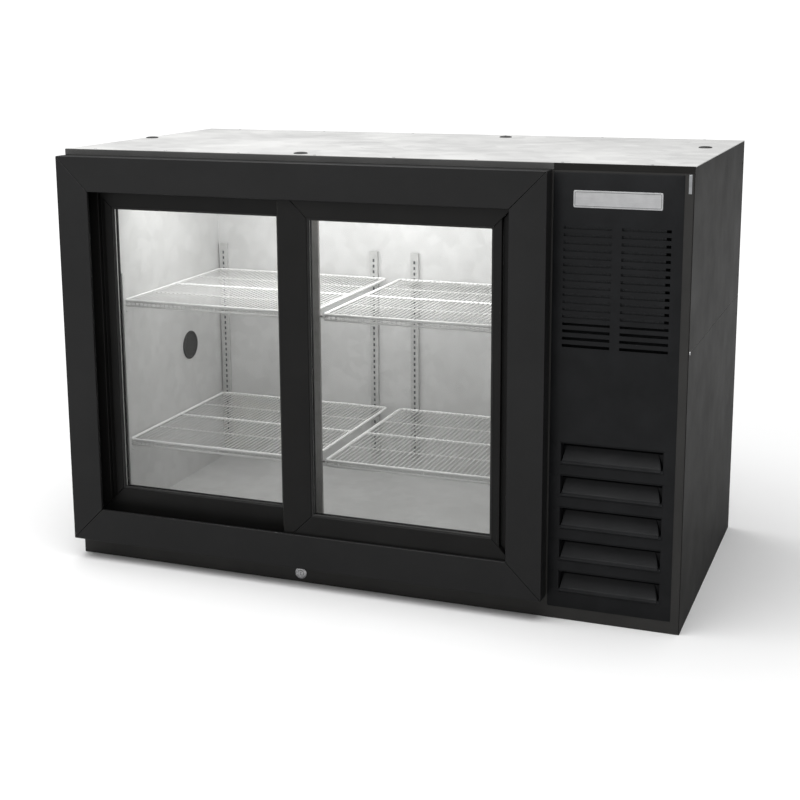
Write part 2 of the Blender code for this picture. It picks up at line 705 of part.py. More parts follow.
def build_side_panels(material):
    """Folded side skins; each has a return along its back edge."""
    def skin(name, edge, inward, z_low, z_high):
        inner = edge + inward * SHEET
        turn_in = edge + inward * PANEL_RETURN
        outline = [(edge, FRONT), (inner, FRONT), (inner, BACK - SHEET), (turn_in, BACK - SHEET),
                   (turn_in, BACK), (edge, BACK)]
        prism(name, outline, "Z", z_low, z_high, material)

    skin("left_side_panel", LEFT, 1, 0, UNDER_TOP)
    skin("right_panel_lower", RIGHT, -1, 0, PANEL_SEAM_HEIGHT)
    skin("right_panel_upper", RIGHT, -1, PANEL_SEAM_HEIGHT + PANEL_SEAM, UNDER_TOP)


def build_back(finishes):
    """The insulated part's back sheet, and a recessed vented cover behind the machine bay."""
    divide = BAY_LEFT - PANEL_RETURN
    box("back_panel", (LEFT + PANEL_RETURN + GAP, divide), (BACK - SHEET, BACK), (0, UNDER_TOP),
        finishes["black"])
    x_low = BAY_LEFT + GAP
    x_high = RIGHT - PANEL_RETURN - GAP
    bottom = SHEET + GAP
    field = steps(bottom + GLAND_HEIGHT + VENT_MARGIN, NICHE_BOTTOM - NICHE_FOAM - VENT_MARGIN,
                  (VENT_SLOTS, VENT_SLOT_HEIGHT))
    zs = [bottom] + field + [UNDER_TOP]
    xs = [x_low, x_low + VENT_MARGIN, x_high - VENT_MARGIN, x_high]
    rear = BACK - VENT_RECESS
    vent = lattice("rear_vent_panel", xs, zs, lambda i, j: i == 1 and j % 2 == 1 and j < len(zs) - 2, "Y",
                   rear - SHEET, rear, finishes["black"])
    gland_centre = (x_low + VENT_MARGIN, bottom + GLAND_HEIGHT)
    hole = cylinder("gland_hole", gland_centre, "Y", GLAND_NECK_RADIUS + GAP, rear - 4 * SHEET, rear + SHEET,
                    finishes["black"], 24)
    cut(vent, hole)
    front = rear - GLAND_TAIL
    turned("cord_gland",
           [(GLAND_BORE, front), (GLAND_NECK_RADIUS, front), (GLAND_NECK_RADIUS, rear + GAP),
            (GLAND_RADIUS, rear + GAP), (GLAND_TIP_RADIUS, rear + GLAND_LENGTH),
            (GLAND_BORE, rear + GLAND_LENGTH)],
           gland_centre, "Y", finishes["rubber"], 24)


def build_base_pan(material):
    """The steel tray that the cabinet stands on, with a flange up each side."""
    x0, x1 = FRAME_LEFT, FRAME_RIGHT
    outline = [(x0, 0), (x1, 0), (x1, BASE_FLANGE), (x1 - SHEET, BASE_FLANGE), (x1 - SHEET, SHEET),
               (x0 + SHEET, SHEET), (x0 + SHEET, BASE_FLANGE), (x0, BASE_FLANGE)]
    prism("base_pan", outline, "Y", INSIDE_FRAME, INSIDE_BACK, material)


# ---------------------------------------------------------------- insulated compartment
def build_compartment(finishes):
    """The galvanised liner with its evaporator niche, inside one block of foam."""
    def room(name, grow, front, finish):
        return box(name, (ROOM_LEFT - grow, ROOM_RIGHT + grow), (front, ROOM_BACK + grow),
                   (ROOM_FLOOR - grow, ROOM_CEILING + grow), finish)

    def niche(name, grow, finish):
        return box(name, (ROOM_RIGHT - FRAME_DEPTH, NICHE_RIGHT + grow),
                   (NICHE_FRONT - grow, NICHE_BACK + grow),
                   (NICHE_BOTTOM - grow, NICHE_TOP + grow), finish)

    steel = finishes["galvanised"]
    liner = room("inner_liner", LINER, INSIDE_FRAME, steel)
    unite(liner, niche("liner_niche", LINER, steel))
    cut(liner, room("liner_hollow", 0, FRONT, steel), niche("liner_niche_hollow", 0, steel))
    plug_centre = (ROOM_BACK - LINE_PLUG_BACK_INSET, LINE_PLUG_HEIGHT)
    hole = cylinder("line_hole", plug_centre, "X", LINE_PLUG_NECK + GAP, LEFT, ROOM_LEFT + LINER, steel, 32)
    cut(liner, hole)

    inner_side = FRAME_LEFT + SHEET + GAP
    foam = box("foam_insulation", (inner_side, BAY_LEFT - GAP), (INSIDE_FRAME, INSIDE_BACK),
               (SHEET + GAP, UNDER_TOP), finishes["foam"])
    block = box("foam_niche", (BAY_LEFT - FRAME_DEPTH, NICHE_RIGHT + NICHE_FOAM),
                (NICHE_FRONT - NICHE_FOAM, NICHE_BACK + NICHE_FOAM),
                (NICHE_BOTTOM - NICHE_FOAM, UNDER_TOP - GAP),
                finishes["foam"])
    unite(foam, block)
    cut(foam, room("foam_hollow", LINER + GAP, FRONT, steel), niche("foam_niche_hollow", LINER + GAP, steel))
    socket = cylinder("foam_socket", plug_centre, "X", LINE_PLUG_NECK + GAP,
                      ROOM_LEFT - LINE_PLUG_DEPTH - LINE_PLUG_ROOM, ROOM_LEFT + LINER, steel, 32)
    cut(foam, socket)
    turned("line_entry_plug",
           [(0.0, ROOM_LEFT - LINE_PLUG_DEPTH), (LINE_PLUG_NECK, ROOM_LEFT - LINE_PLUG_DEPTH),
            (LINE_PLUG_NECK, ROOM_LEFT + GAP), (LINE_PLUG_RADIUS, ROOM_LEFT + GAP),
            (LINE_PLUG_CROWN, ROOM_LEFT + LINE_PLUG_RIM), (0.0, ROOM_LEFT + LINE_PLUG_RIM)],
           plug_centre, "X", finishes["rubber"], 32)


def build_shelf(name, x_range, height, material):
    """A wire shelf: rim, front-to-back wires, two cross wires, and a second rail under the front."""
    low, high = x_range
    wires = steps(low + SHELF_RIM, high - SHELF_RIM, (SHELF_WIRES + 2, SHELF_WIRE))[2:-2]
    xs = [low, low + SHELF_RIM] + wires + [high - SHELF_RIM, high]
    middle = (SHELF_FRONT + SHELF_BACK) / 2
    ys = [SHELF_FRONT, SHELF_FRONT + SHELF_RIM, middle - SHELF_WIRE, middle + SHELF_WIRE,
          SHELF_BACK - SHELF_RIM, SHELF_BACK]
    shelf = lattice(name, xs, ys, lambda i, j: i % 2 == 1 and j % 2 == 1, "Z", height - SHELF_THICKNESS,
                    height,
                    material)
    rail_z = height - SHELF_RAIL_DROP
    rail = box(f"{name}_rail", (low, high), (SHELF_FRONT, SHELF_FRONT + SHELF_LINK),
               (rail_z - SHELF_LINK, rail_z),
               material)
    links = [box(f"{name}_link_{index}", (x - SHELF_LINK / 2, x + SHELF_LINK / 2),
                 (SHELF_FRONT + SHELF_LINK_INSET, SHELF_FRONT + SHELF_LINK - SHELF_LINK_INSET),
                 (rail_z - SHELF_LINK / 2, height - SHELF_THICKNESS / 2), material)
             for index, x in enumerate((low + SHELF_LINK, (low + high) / 2, high - SHELF_LINK))]
    unite(shelf, *links)
    unite(shelf, rail)
    set_origin(shelf, ((low + high) / 2, middle, height))


def build_pilaster(name, x, y_range, z_range, clip_x, clip_y, clip_drop, material):
    """A slotted upright with one clip under each shelf level, clip_drop below that shelf's top."""
    half = PILASTER_WIDTH / 2
    slot = PILASTER_SLOT_WIDTH / 2
    count = int((z_range[1] - z_range[0] - PILASTER_PITCH / 2) / PILASTER_PITCH)
    zs = [z_range[0]]
    for index in range(count):
        start = z_range[0] + PILASTER_PITCH * (index + 0.5)
        zs += [start, start + PILASTER_SLOT_HEIGHT]
    zs.append(z_range[1])
    upright = lattice(name, [x - half, x - slot, x + slot, x + half], zs, lambda i, j: i == 1 and j % 2 == 1,
                      "Y", y_range[0], y_range[1], material)
    for level, height in SHELF_HEIGHTS.items():
        top = height - clip_drop - GAP
        unite(upright, box(f"{name}_{level}_clip", clip_x, clip_y, (top - CLIP_HEIGHT, top), material))


def build_shelving(finishes):
    """Four shelves in two bays on seven slotted uprights."""
    half_gap = SHELF_MIDDLE_GAP / 2
    bays = {"left": (ROOM_LEFT + SHELF_WALL_GAP, ROOM_MIDDLE - half_gap),
            "right": (ROOM_MIDDLE + half_gap, ROOM_RIGHT - SHELF_WALL_GAP)}
    for level, height in SHELF_HEIGHTS.items():
        for side, x_range in bays.items():
            build_shelf(f"shelf_{level}_{side}", x_range, height, finishes["epoxy"])

    steel = finishes["galvanised"]
    tongue = PILASTER_WIDTH * CLIP_WIDTH_SHARE / 2
    wall_z = (ROOM_FLOOR + PILASTER_FLOOR_GAP, max(SHELF_HEIGHTS.values()) + PILASTER_ABOVE_SHELF)
    back_y = (ROOM_BACK - GAP - PILASTER_THICKNESS, ROOM_BACK - GAP)
    corner = PILASTER_WIDTH / 2 + SHELF_WALL_GAP
    places = {"outer_left": ROOM_LEFT + corner, "middle_left": ROOM_MIDDLE - PILASTER_CENTRE_OFFSET,
              "middle_right": ROOM_MIDDLE + PILASTER_CENTRE_OFFSET, "outer_right": ROOM_RIGHT - corner}
    for place, x in places.items():
        build_pilaster(f"back_pilaster_{place}", x, back_y, wall_z, (x - tongue, x + tongue),
                       (back_y[0] - CLIP_REACH, sum(back_y) / 2), SHELF_THICKNESS, steel)

    post_front = SHELF_FRONT + SHELF_LINK + SHELF_RIM + POST_GAP
    post_y = (post_front, post_front + PILASTER_THICKNESS)
    reach = PILASTER_WIDTH / 2 + CLIP_WIDTH
    thin = PILASTER_THICKNESS * CLIP_TONGUE_SHARE / 2
    build_pilaster("front_post", ROOM_MIDDLE, post_y, (ROOM_FLOOR + GAP, ROOM_CEILING - GAP),
                   (ROOM_MIDDLE - reach, ROOM_MIDDLE + reach),
                   (sum(post_y) / 2 - thin, sum(post_y) / 2 + thin),
                   SHELF_THICKNESS, steel)

    wall_y = (SHELF_FRONT - GAP - 2 * PILASTER_THICKNESS, SHELF_FRONT - GAP - PILASTER_THICKNESS)
    inset = PILASTER_WIDTH / 2 + GAP
    for side, x in (("left", ROOM_LEFT + inset), ("right", ROOM_RIGHT - inset)):
        build_pilaster(f"front_pilaster_{side}", x, wall_y, wall_z, (x - tongue, x + tongue),
                       (sum(wall_y) / 2, SHELF_FRONT + SHELF_LINK), SHELF_RAIL_DROP + SHELF_LINK, steel)


# ---------------------------------------------------------------- front grille
def build_grille(finishes):
    """A moulded panel with two columns of slots above and five scooped louvres below."""
    black = finishes["grille"]
    middle = (GRILLE_LEFT + GRILLE_RIGHT) / 2
    left_edge, right_edge = GRILLE_LEFT + GRILLE_MARGIN, GRILLE_RIGHT - GRILLE_MARGIN
    rib = GRILLE_RIB / 2
    xs = [GRILLE_LEFT, left_edge, middle - rib, middle + rib, right_edge, GRILLE_RIGHT]

    lips = [GRILLE_LOW + LOUVRE_LOWEST_LIP + LOUVRE_PITCH * index for index in range(LOUVRE_COUNT)]
    zs = [GRILLE_LOW]
    for lip in lips:
        zs += [lip, lip + LOUVRE_OPENING]
    louvre_cells = len(zs)
    slot_top = GRILLE_TOP - SLOT_FIELD_TOP
    for row in reversed(range(SLOT_ROWS)):
        top = slot_top - SLOT_PITCH * row
        zs += [top - SLOT_HEIGHT, top]
    zs.append(GRILLE_TOP)

    def is_open(i, j):
        if j % 2 == 0 or j >= len(zs) - 1:
            return False
        if j < louvre_cells:
            return 1 <= i <= 3
        return i in (1, 3)

    face, rear = FRONT, FRONT + GRILLE_THICKNESS
    grille = lattice("front_grille", xs, zs, is_open, "Y", face, rear, black)
    recess = face + LOUVRE_DEPTH
    for index, lip in enumerate(lips):
        high = lip + LOUVRE_OPENING - LOUVRE_THROAT
        under = lip - GRILLE_THICKNESS
        blade = [(face + LOUVRE_INSET, lip - LOUVRE_INSET), (rear - LOUVRE_INSET, under),
                 (recess, high - GRILLE_THICKNESS), (recess, high), (recess - GRILLE_THICKNESS, high)]
        scoop = prism(f"louvre_blade_{index}", blade, "X", left_edge - SHEET, right_edge + SHEET, black)
        scoops = [scoop]
        for side, (low, far) in enumerate(((left_edge - SHEET, left_edge + SHEET),
                                           (right_edge - SHEET, right_edge + SHEET))):
            root, tip = rear - 2 * LOUVRE_INSET, recess - LOUVRE_INSET
            crest = lip + LOUVRE_OPENING + LOUVRE_CHEEK_RISE
            cheek = [(root, under + LOUVRE_INSET), (tip, high - GRILLE_THICKNESS + LOUVRE_INSET),
                     (tip, crest),
                     (root, crest)]
            scoops.append(prism(f"louvre_cheek_{index}_{side}", cheek, "X", low + LOUVRE_INSET,
                                far - LOUVRE_INSET,
                                black))
        unite(grille, *scoops)

    plate_top = GRILLE_TOP - PLATE_TOP
    outline = rounded((middle - PLATE_WIDTH / 2, middle + PLATE_WIDTH / 2),
                      (plate_top - PLATE_HEIGHT, plate_top),
                      PLATE_CORNER)
    prism("nameplate", outline, "Y", FRONT - GAP - PLATE_THICKNESS, FRONT - GAP, finishes["satin"])


# ---------------------------------------------------------------- machine bay
def finned_block(name, axis_range, fin_range, depth_range, axis, material):
    """A coil's fin pack: a block with grooves across its two wide faces, drawn as one comb outline."""
    start, end = fin_range
    count = int((end - start) / FIN_PITCH)
    pitch = (end - start) / count
    front, rear = depth_range
    near = [(front, start)]
    far = [(rear, start)]
    for index in range(1, count):
        low, high = start + pitch * (index - 0.25), start + pitch * (index + 0.25)
        near += [(front, low), (front + FIN_DEPTH, low), (front + FIN_DEPTH, high), (front, high)]
        far += [(rear, low), (rear - FIN_DEPTH, low), (rear - FIN_DEPTH, high), (rear, high)]
    near.append((front, end))
    far.append((rear, end))
    return prism(name, near + far[::-1], axis, axis_range[0], axis_range[1], material)


def build_fan(name, centre, axis, radius, low, high, blades, material):
    """A hub with flat pitched blades, its origin on the motor's axis."""
    hub_radius = radius * FAN_HUB_SHARE
    hub = cylinder(name, centre, axis, hub_radius, low, high, material, 24)
    middle = (low + high) / 2
    half_thick = BLADE_THICKNESS / 2
    rise = (high - low) / 2 - half_thick - BLADE_END_ROOM
    for index in range(blades):
        turn = 2 * math.pi * index / blades
        bm = bmesh.new()
        corners = []
        for reach in (hub_radius * BLADE_ROOT_SHARE, radius):
            chord = reach * math.sin(math.pi / blades) * BLADE_CHORD_SHARE
            for side in (-1, 1):
                for thick in (-half_thick, half_thick):
                    out = math.sqrt(reach * reach - chord * chord)
                    u = centre[0] + out * math.cos(turn) - side * chord * math.sin(turn)
                    v = centre[1] + out * math.sin(turn) + side * chord * math.cos(turn)
                    corners.append(bm.verts.new(spot(u, v, middle + side * rise + thick, axis)))
        bmesh.ops.convex_hull(bm, input=corners)
        unite(hub, make_object(f"{name}_blade_{index}", bm, material))
    set_origin(hub, spot(centre[0], centre[1], middle, axis))
    return hub


def build_motor(name, centre, axis, radius, low, high, bar_range, bar_axis, bracket_at, material):
    """A motor can on a bracket strap that reaches both ends of bar_range."""
    motor = cylinder(name, centre, axis, radius, low, high, material, 24)
    across = (centre[0 if bar_axis == "Z" else 1] - BRACKET_WIDTH / 2,
              centre[0 if bar_axis == "Z" else 1] + BRACKET_WIDTH / 2)
    if axis == "Y" and bar_axis == "X":
        strap = box(f"{name}_strap", bar_range, (bracket_at, bracket_at + BRACKET_THICKNESS), across,
                    material)
    else:
        strap = box(f"{name}_strap", (bracket_at, bracket_at + BRACKET_THICKNESS), across, bar_range,
                    material)
    unite(motor, strap)
    return motor


def build_machine_bay(finishes):
    """Condenser, its fan and motor behind the louvres, the compressor at the back and the pan between."""
    steel = finishes["machine"]
    floor = SHEET + GAP
    coil_front = FRONT + CONDENSER_SETBACK
    coil_back = coil_front + CONDENSER_THICKNESS
    coil_z = (CONDENSER_BASE, CONDENSER_BASE + CONDENSER_HEIGHT)
    finned_block("condenser_coil", (BAY_MIDDLE - BAY_HALF, BAY_MIDDLE + BAY_HALF), coil_z,
                 (coil_front, coil_back),
                 "X", finishes["fins"])
    fan_low = coil_back + CONDENSER_FAN_GAP
    fan_high = fan_low + FAN_DEPTH
    centre = (BAY_MIDDLE, CONDENSER_BASE + CONDENSER_HEIGHT / 2)
    build_fan("condenser_fan", centre, "Y", CONDENSER_FAN_RADIUS, fan_low, fan_high, 4, finishes["fan"])
    motor_low = fan_high + MOTOR_GAP
    build_motor("condenser_fan_motor", centre, "Y", MOTOR_RADIUS, motor_low, motor_low + MOTOR_LENGTH,
                (BAY_MIDDLE - BAY_HALF, BAY_MIDDLE + BAY_HALF), "X", motor_low + MOTOR_LENGTH / 2, steel)

    pan_front = motor_low + MOTOR_LENGTH + PAN_GAP
    pan_x = (BAY_MIDDLE - BAY_HALF, BAY_MIDDLE + BAY_HALF)
    pan = box("condensate_pan", pan_x, (pan_front, pan_front + PAN_LENGTH), (floor, floor + PAN_HEIGHT),
              finishes["pan"])
    hollow = box("pan_hollow", (pan_x[0] + PAN_WALL, pan_x[1] - PAN_WALL),
                 (pan_front + PAN_WALL, pan_front + PAN_LENGTH - PAN_WALL),
                 (floor + PAN_WALL, floor + 2 * PAN_HEIGHT),
                 finishes["pan"])
    cut(pan, hollow)

    middle = (BAY_MIDDLE, BACK - COMPRESSOR_BACK_INSET)
    skirt = floor + COMPRESSOR_FOOT
    profile = [(0.0, skirt), (COMPRESSOR_BASE_RADIUS, skirt), (COMPRESSOR_RADIUS, skirt + COMPRESSOR_SKIRT)]
    dome = COMPRESSOR_HEIGHT - COMPRESSOR_SHOULDER
    for index in range(DOME_STEPS + 1):
        turn = math.pi / 2 * index / DOME_STEPS
        radius = COMPRESSOR_RADIUS * math.cos(turn) if index < DOME_STEPS else 0.0
        profile.append((radius, skirt + COMPRESSOR_SHOULDER + dome * math.sin(turn)))
    compressor = turned("compressor", profile, middle, "Z", finishes["compressor"], 24)
    reach = COMPRESSOR_PLATE / 2
    plate = box("compressor_plate", (middle[0] - reach, middle[0] + reach),
                (middle[1] - reach, middle[1] + reach),
                (floor, skirt + COMPRESSOR_PLATE_RISE), finishes["compressor"])
    unite(compressor, plate)


def build_evaporator(finishes):
    """The coil, fan and motor in the niche, behind a cover with a fan opening and return slots."""
    centre = (NICHE_FRONT + NICHE_LENGTH * EVAPORATOR_FAN_PLACE, (NICHE_BOTTOM + NICHE_TOP) / 2)
    cover_y = (NICHE_FRONT - COVER_OVERLAP, NICHE_BACK + COVER_OVERLAP)
    cover_z = (NICHE_BOTTOM - COVER_OVERLAP, ROOM_CEILING - 2 * GAP)
    cover_x = (ROOM_RIGHT - GAP - COVER_THICKNESS, ROOM_RIGHT - GAP)
    slots = steps(NICHE_BOTTOM + COVER_OVERLAP, NICHE_TOP - COVER_OVERLAP, (RETURN_SLOTS, RETURN_SLOT_HEIGHT))
    slot_y = (NICHE_FRONT + RETURN_SLOT_INSET, centre[0] - COVER_FAN_RADIUS - RETURN_SLOT_INSET)
    cover = lattice("evaporator_cover", [cover_y[0], slot_y[0], slot_y[1], cover_y[1]],
                    [cover_z[0]] + slots + [cover_z[1]], lambda i, j: i == 1 and j % 2 == 1,
                    "X", cover_x[0], cover_x[1], finishes["galvanised"])
    opening = cylinder("cover_fan_opening", centre, "X", COVER_FAN_RADIUS, cover_x[0] - COVER_OVERLAP,
                       cover_x[1] + COVER_OVERLAP, finishes["galvanised"], 32)
    knob_centre = (cover_y[1] - KNOB_INSET, cover_z[0] + KNOB_INSET)
    stem = cylinder("knob_hole", knob_centre, "X", KNOB_STEM_RADIUS + GAP, cover_x[0] - COVER_OVERLAP,
                    cover_x[1] + COVER_OVERLAP, finishes["galvanised"], 16)
    cut(cover, opening, stem)

    base = cover_x[0] - GAP
    knob = turned("thermostat_knob",
                  [(0.0, base - KNOB_LENGTH), (KNOB_CROWN_RADIUS, base - KNOB_LENGTH),
                   (KNOB_RADIUS, base - KNOB_SKIRT), (KNOB_RADIUS, base), (KNOB_STEM_RADIUS, base),
                   (KNOB_STEM_RADIUS, cover_x[1] + KNOB_STEM_REACH), (0.0, cover_x[1] + KNOB_STEM_REACH)],
                  knob_centre, "X", finishes["rubber"], 24)
    crown = base - KNOB_LENGTH
    pointer = box("knob_pointer", (crown - POINTER_RISE, crown + POINTER_ROOT),
                  (knob_centre[0] - POINTER_WIDTH / 2, knob_centre[0] + POINTER_WIDTH / 2),
                  (knob_centre[1] + POINTER_SPAN[0], knob_centre[1] + POINTER_SPAN[1]), finishes["rubber"])
    unite(knob, pointer)
    set_origin(knob, (base, knob_centre[0], knob_centre[1]))

    fan_low = ROOM_RIGHT + EVAPORATOR_FAN_SETBACK
    fan_high = fan_low + EVAPORATOR_FAN_DEPTH
    build_fan("evaporator_fan", centre, "X", EVAPORATOR_FAN_RADIUS, fan_low, fan_high, 4, finishes["fan"])
    motor_low = fan_high + MOTOR_GAP
    build_motor("evaporator_fan_motor", centre, "X", EVAPORATOR_MOTOR_RADIUS, motor_low,
                motor_low + EVAPORATOR_MOTOR_LENGTH, (NICHE_BOTTOM + GAP, NICHE_TOP - GAP), "Z",
                motor_low + EVAPORATOR_MOTOR_LENGTH / 2, finishes["machine"])
    coil_right = NICHE_RIGHT - EVAPORATOR_COIL_GAP
    finned_block("evaporator_coil", (NICHE_FRONT + EVAPORATOR_COIL_GAP, NICHE_BACK - EVAPORATOR_COIL_GAP),
                 (NICHE_BOTTOM + EVAPORATOR_COIL_GAP, NICHE_TOP - EVAPORATOR_COIL_GAP),
                 (coil_right - EVAPORATOR_COIL_THICKNESS, coil_right), "Y", finishes["fins"])


# ---------------------------------------------------------------- the whole refrigerator
def build_finishes():
    """The finishes by name."""
    return {
        "black": make_material("black_powder_coat", (0.016, 0.016, 0.016), 0.45),
        "grille": make_material("black_moulding", (0.017, 0.018, 0.020), 0.5),
        "galvanised": make_material("galvanised_steel", (0.62, 0.63, 0.63), 0.42, 0.8),
        "epoxy": make_material("white_epoxy", (0.80, 0.80, 0.78), 0.4),
        "foam": make_material("foam", (0.78, 0.70, 0.50), 0.9),
        "glass": make_material("door_glass", (0.92, 0.96, 0.95), 0.02, 0.0, 1.0),
        "rubber": make_material("black_rubber", (0.012, 0.012, 0.012), 0.7),
        "nylon": make_material("white_nylon", (0.75, 0.74, 0.70), 0.5),
        "chrome": make_material("lock_chrome", (0.75, 0.75, 0.76), 0.15, 1.0),
        "satin": make_material("satin_plate", (0.70, 0.70, 0.71), 0.35, 0.9),
        "machine": make_material("machine_grey", (0.25, 0.26, 0.27), 0.5, 0.5),
        "fins": make_material("fin_aluminium", (0.70, 0.71, 0.72), 0.35, 1.0),
        "fan": make_material("fan_aluminium", (0.55, 0.56, 0.57), 0.4, 0.9),
        "pan": make_material("pan_plastic", (0.05, 0.05, 0.05), 0.6),
        "compressor": make_material("compressor_enamel", (0.012, 0.012, 0.013), 0.3),
    }


def build():
    for thing in list(bpy.data.objects):
        bpy.data.objects.remove(thing, do_unlink=True)
    finishes = build_finishes()
    build_base_pan(finishes["galvanised"])
    build_face_frame(finishes["black"])
    build_top_panel(finishes["galvanised"])
    build_side_panels(finishes["black"])
    build_back(finishes)
    build_compartment(finishes)
    build_surround(finishes["black"])
    build_tracks(finishes["black"])
    build_doors(finishes)
    build_lock(finishes)
    build_shelving(finishes)
    build_grille(finishes)
    build_machine_bay(finishes)
    build_evaporator(finishes)


build()
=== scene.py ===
"""Finishes and fine detail of the under-counter back-bar refrigerator, in the frame of its CAD model."""
import json
import math

import bmesh
import bpy
import numpy as np
from mathutils import Matrix, Vector


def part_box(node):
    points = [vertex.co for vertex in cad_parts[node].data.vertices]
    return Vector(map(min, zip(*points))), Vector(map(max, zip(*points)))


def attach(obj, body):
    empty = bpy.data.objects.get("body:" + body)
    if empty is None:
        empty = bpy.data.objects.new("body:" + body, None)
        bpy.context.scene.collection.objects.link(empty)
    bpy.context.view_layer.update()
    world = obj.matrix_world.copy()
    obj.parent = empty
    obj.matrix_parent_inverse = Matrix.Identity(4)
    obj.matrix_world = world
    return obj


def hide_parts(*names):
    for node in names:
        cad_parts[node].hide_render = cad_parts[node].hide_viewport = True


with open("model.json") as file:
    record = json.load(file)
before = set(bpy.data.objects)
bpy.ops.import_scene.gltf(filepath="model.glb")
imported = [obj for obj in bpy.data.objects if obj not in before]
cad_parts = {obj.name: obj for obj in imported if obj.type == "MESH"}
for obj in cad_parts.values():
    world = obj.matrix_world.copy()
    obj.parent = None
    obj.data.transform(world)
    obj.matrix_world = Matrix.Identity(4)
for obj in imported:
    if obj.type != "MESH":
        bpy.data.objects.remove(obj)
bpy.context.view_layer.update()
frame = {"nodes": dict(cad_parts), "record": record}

GAP = 0.0003              # room between parts that meet
CREASE = 32               # degrees: corners flatter than this are shaded smooth
ROUND = 60                # the same for wires and soft sheets
LIP_DEGREES = 40          # corners sharper than this are eased on the long bars


# ---------------------------------------------------------------- mesh builders
def make_piece(name, parts, finish, body, turn_out=True, angle=CREASE):
    """Joins (points, quads, triangles) parts into one object on a body, smooth below the given angle."""
    starts = np.cumsum([0] + [len(points) for points, quads, triangles in parts])
    points = np.vstack([part[0] for part in parts])
    quads = np.vstack([part[1] + start for part, start in zip(parts, starts)])
    triangles = np.vstack([part[2] + start for part, start in zip(parts, starts)])
    corners = np.concatenate([quads.ravel(), triangles.ravel()]).astype(np.int32)
    firsts = np.concatenate([np.arange(len(quads)) * 4, len(quads) * 4 + np.arange(len(triangles)) * 3])
    mesh = bpy.data.meshes.new(name)
    mesh.vertices.add(len(points))
    mesh.vertices.foreach_set("co", points.astype(np.float32).ravel())
    mesh.loops.add(len(corners))
    mesh.loops.foreach_set("vertex_index", corners)
    mesh.polygons.add(len(firsts))
    mesh.polygons.foreach_set("loop_start", firsts.astype(np.int32))
    mesh.update(calc_edges=True)
    mesh.validate()
    return dress(name, mesh, finish, body, turn_out, angle)


def make_solid(name, points, faces, finish, body, edge):
    """A piece from plain points and many-sided faces, with its corners eased by the width edge."""
    mesh = bpy.data.meshes.new(name)
    mesh.from_pydata(np.asarray(points).tolist(), [], faces)
    thing = dress(name, mesh, finish, body, True, CREASE)
    ease = thing.modifiers.new("ease", "BEVEL")
    ease.width = edge
    ease.segments = 2
    ease.limit_method = "ANGLE"
    ease.angle_limit = math.radians(LIP_DEGREES)
    return thing


def dress(name, mesh, finish, body, turn_out, angle):
    """Links a mesh as a piece that rides on a body, with its finish and its shading."""
    if turn_out:
        shell = bmesh.new()
        shell.from_mesh(mesh)
        bmesh.ops.recalc_face_normals(shell, faces=shell.faces)
        shell.to_mesh(mesh)
        shell.free()
    mesh.materials.append(finish)
    mesh.shade_smooth()
    mesh.set_sharp_from_angle(angle=math.radians(angle))
    thing = bpy.data.objects.new(name, mesh)
    bpy.context.scene.collection.objects.link(thing)
    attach(thing, body)
    return thing


def skin(rings):
    """Rings (n, m, 3) joined each to the next by quads; a fan round each end ring's mean point closes it."""
    n, m = rings.shape[:2]
    grid = np.arange(n * m).reshape(n, m)
    after = np.roll(grid, -1, axis=1)
    quads = np.stack([grid[:-1], after[:-1], after[1:], grid[1:]], -1).reshape(-1, 4)
    points = np.vstack([rings.reshape(-1, 3), rings[0].mean(0), rings[-1].mean(0)])
    low = np.stack([after[0], grid[0], np.full(m, n * m)], -1)
    high = np.stack([grid[-1], after[-1], np.full(m, n * m + 1)], -1)
    return points, quads, np.vstack([low, high])


def hoop(rings):
    """Rings (n, m, 3) joined round both ways, so that the last meets the first."""
    n, m = rings.shape[:2]
    grid = np.arange(n * m).reshape(n, m)
    after = np.roll(grid, -1, axis=1)
    quads = np.stack([grid, after, np.roll(after, -1, axis=0), np.roll(grid, -1, axis=0)], -1).reshape(-1, 4)
    return rings.reshape(-1, 3), quads, np.zeros((0, 3), int)


def tube(path, radius, normal=(0, 0, 1), sides=8, closed=False):
    """A round section carried along a path: point + radius * (cos a * across + sin a * up)."""
    path = np.asarray(path, float)
    if closed:
        along = np.roll(path, -1, axis=0) - np.roll(path, 1, axis=0)
    else:
        along = np.gradient(path, axis=0)
    along /= np.linalg.norm(along, axis=1)[:, None]
    across = np.cross(along, normal)
    across /= np.linalg.norm(across, axis=1)[:, None]
    up = np.cross(across, along)
    turn = np.linspace(0, 2 * np.pi, sides, endpoint=False)
    ring = across[:, None] * np.cos(turn)[None, :, None] + up[:, None] * np.sin(turn)[None, :, None]
    rings = path[:, None] + radius * ring
    return hoop(rings) if closed else skin(rings)


def eased(corners, radius, steps=4, closed=False):
    """A path whose corners become curves: (1-t)^2 * before + 2t(1-t) * corner + t^2 * after."""
    corners = np.asarray(corners, float)
    before = np.roll(corners, 1, axis=0) - corners
    after = np.roll(corners, -1, axis=0) - corners
    before *= (radius / np.linalg.norm(before, axis=1))[:, None]
    after *= (radius / np.linalg.norm(after, axis=1))[:, None]
    t = np.linspace(0, 1, steps)[None, :, None]
    start, end = (corners + before)[:, None], (corners + after)[:, None]
    curves = (1 - t) ** 2 * start + 2 * t * (1 - t) * corners[:, None] + t ** 2 * end
    if closed:
        return curves.reshape(-1, corners.shape[1])
    return np.vstack([corners[:1], curves[1:-1].reshape(-1, corners.shape[1]), corners[-1:]])


def place(flat, depth, axis):
    """Points in space: flat holds their pairs in the plane across the axis, depth their place along it."""
    depth = np.broadcast_to(depth, flat.shape[:-1])
    order = {"X": (2, 0, 1), "Y": (0, 2, 1), "Z": (0, 1, 2)}[axis]
    stacked = np.concatenate([flat, depth[..., None]], -1)
    return stacked[..., order]


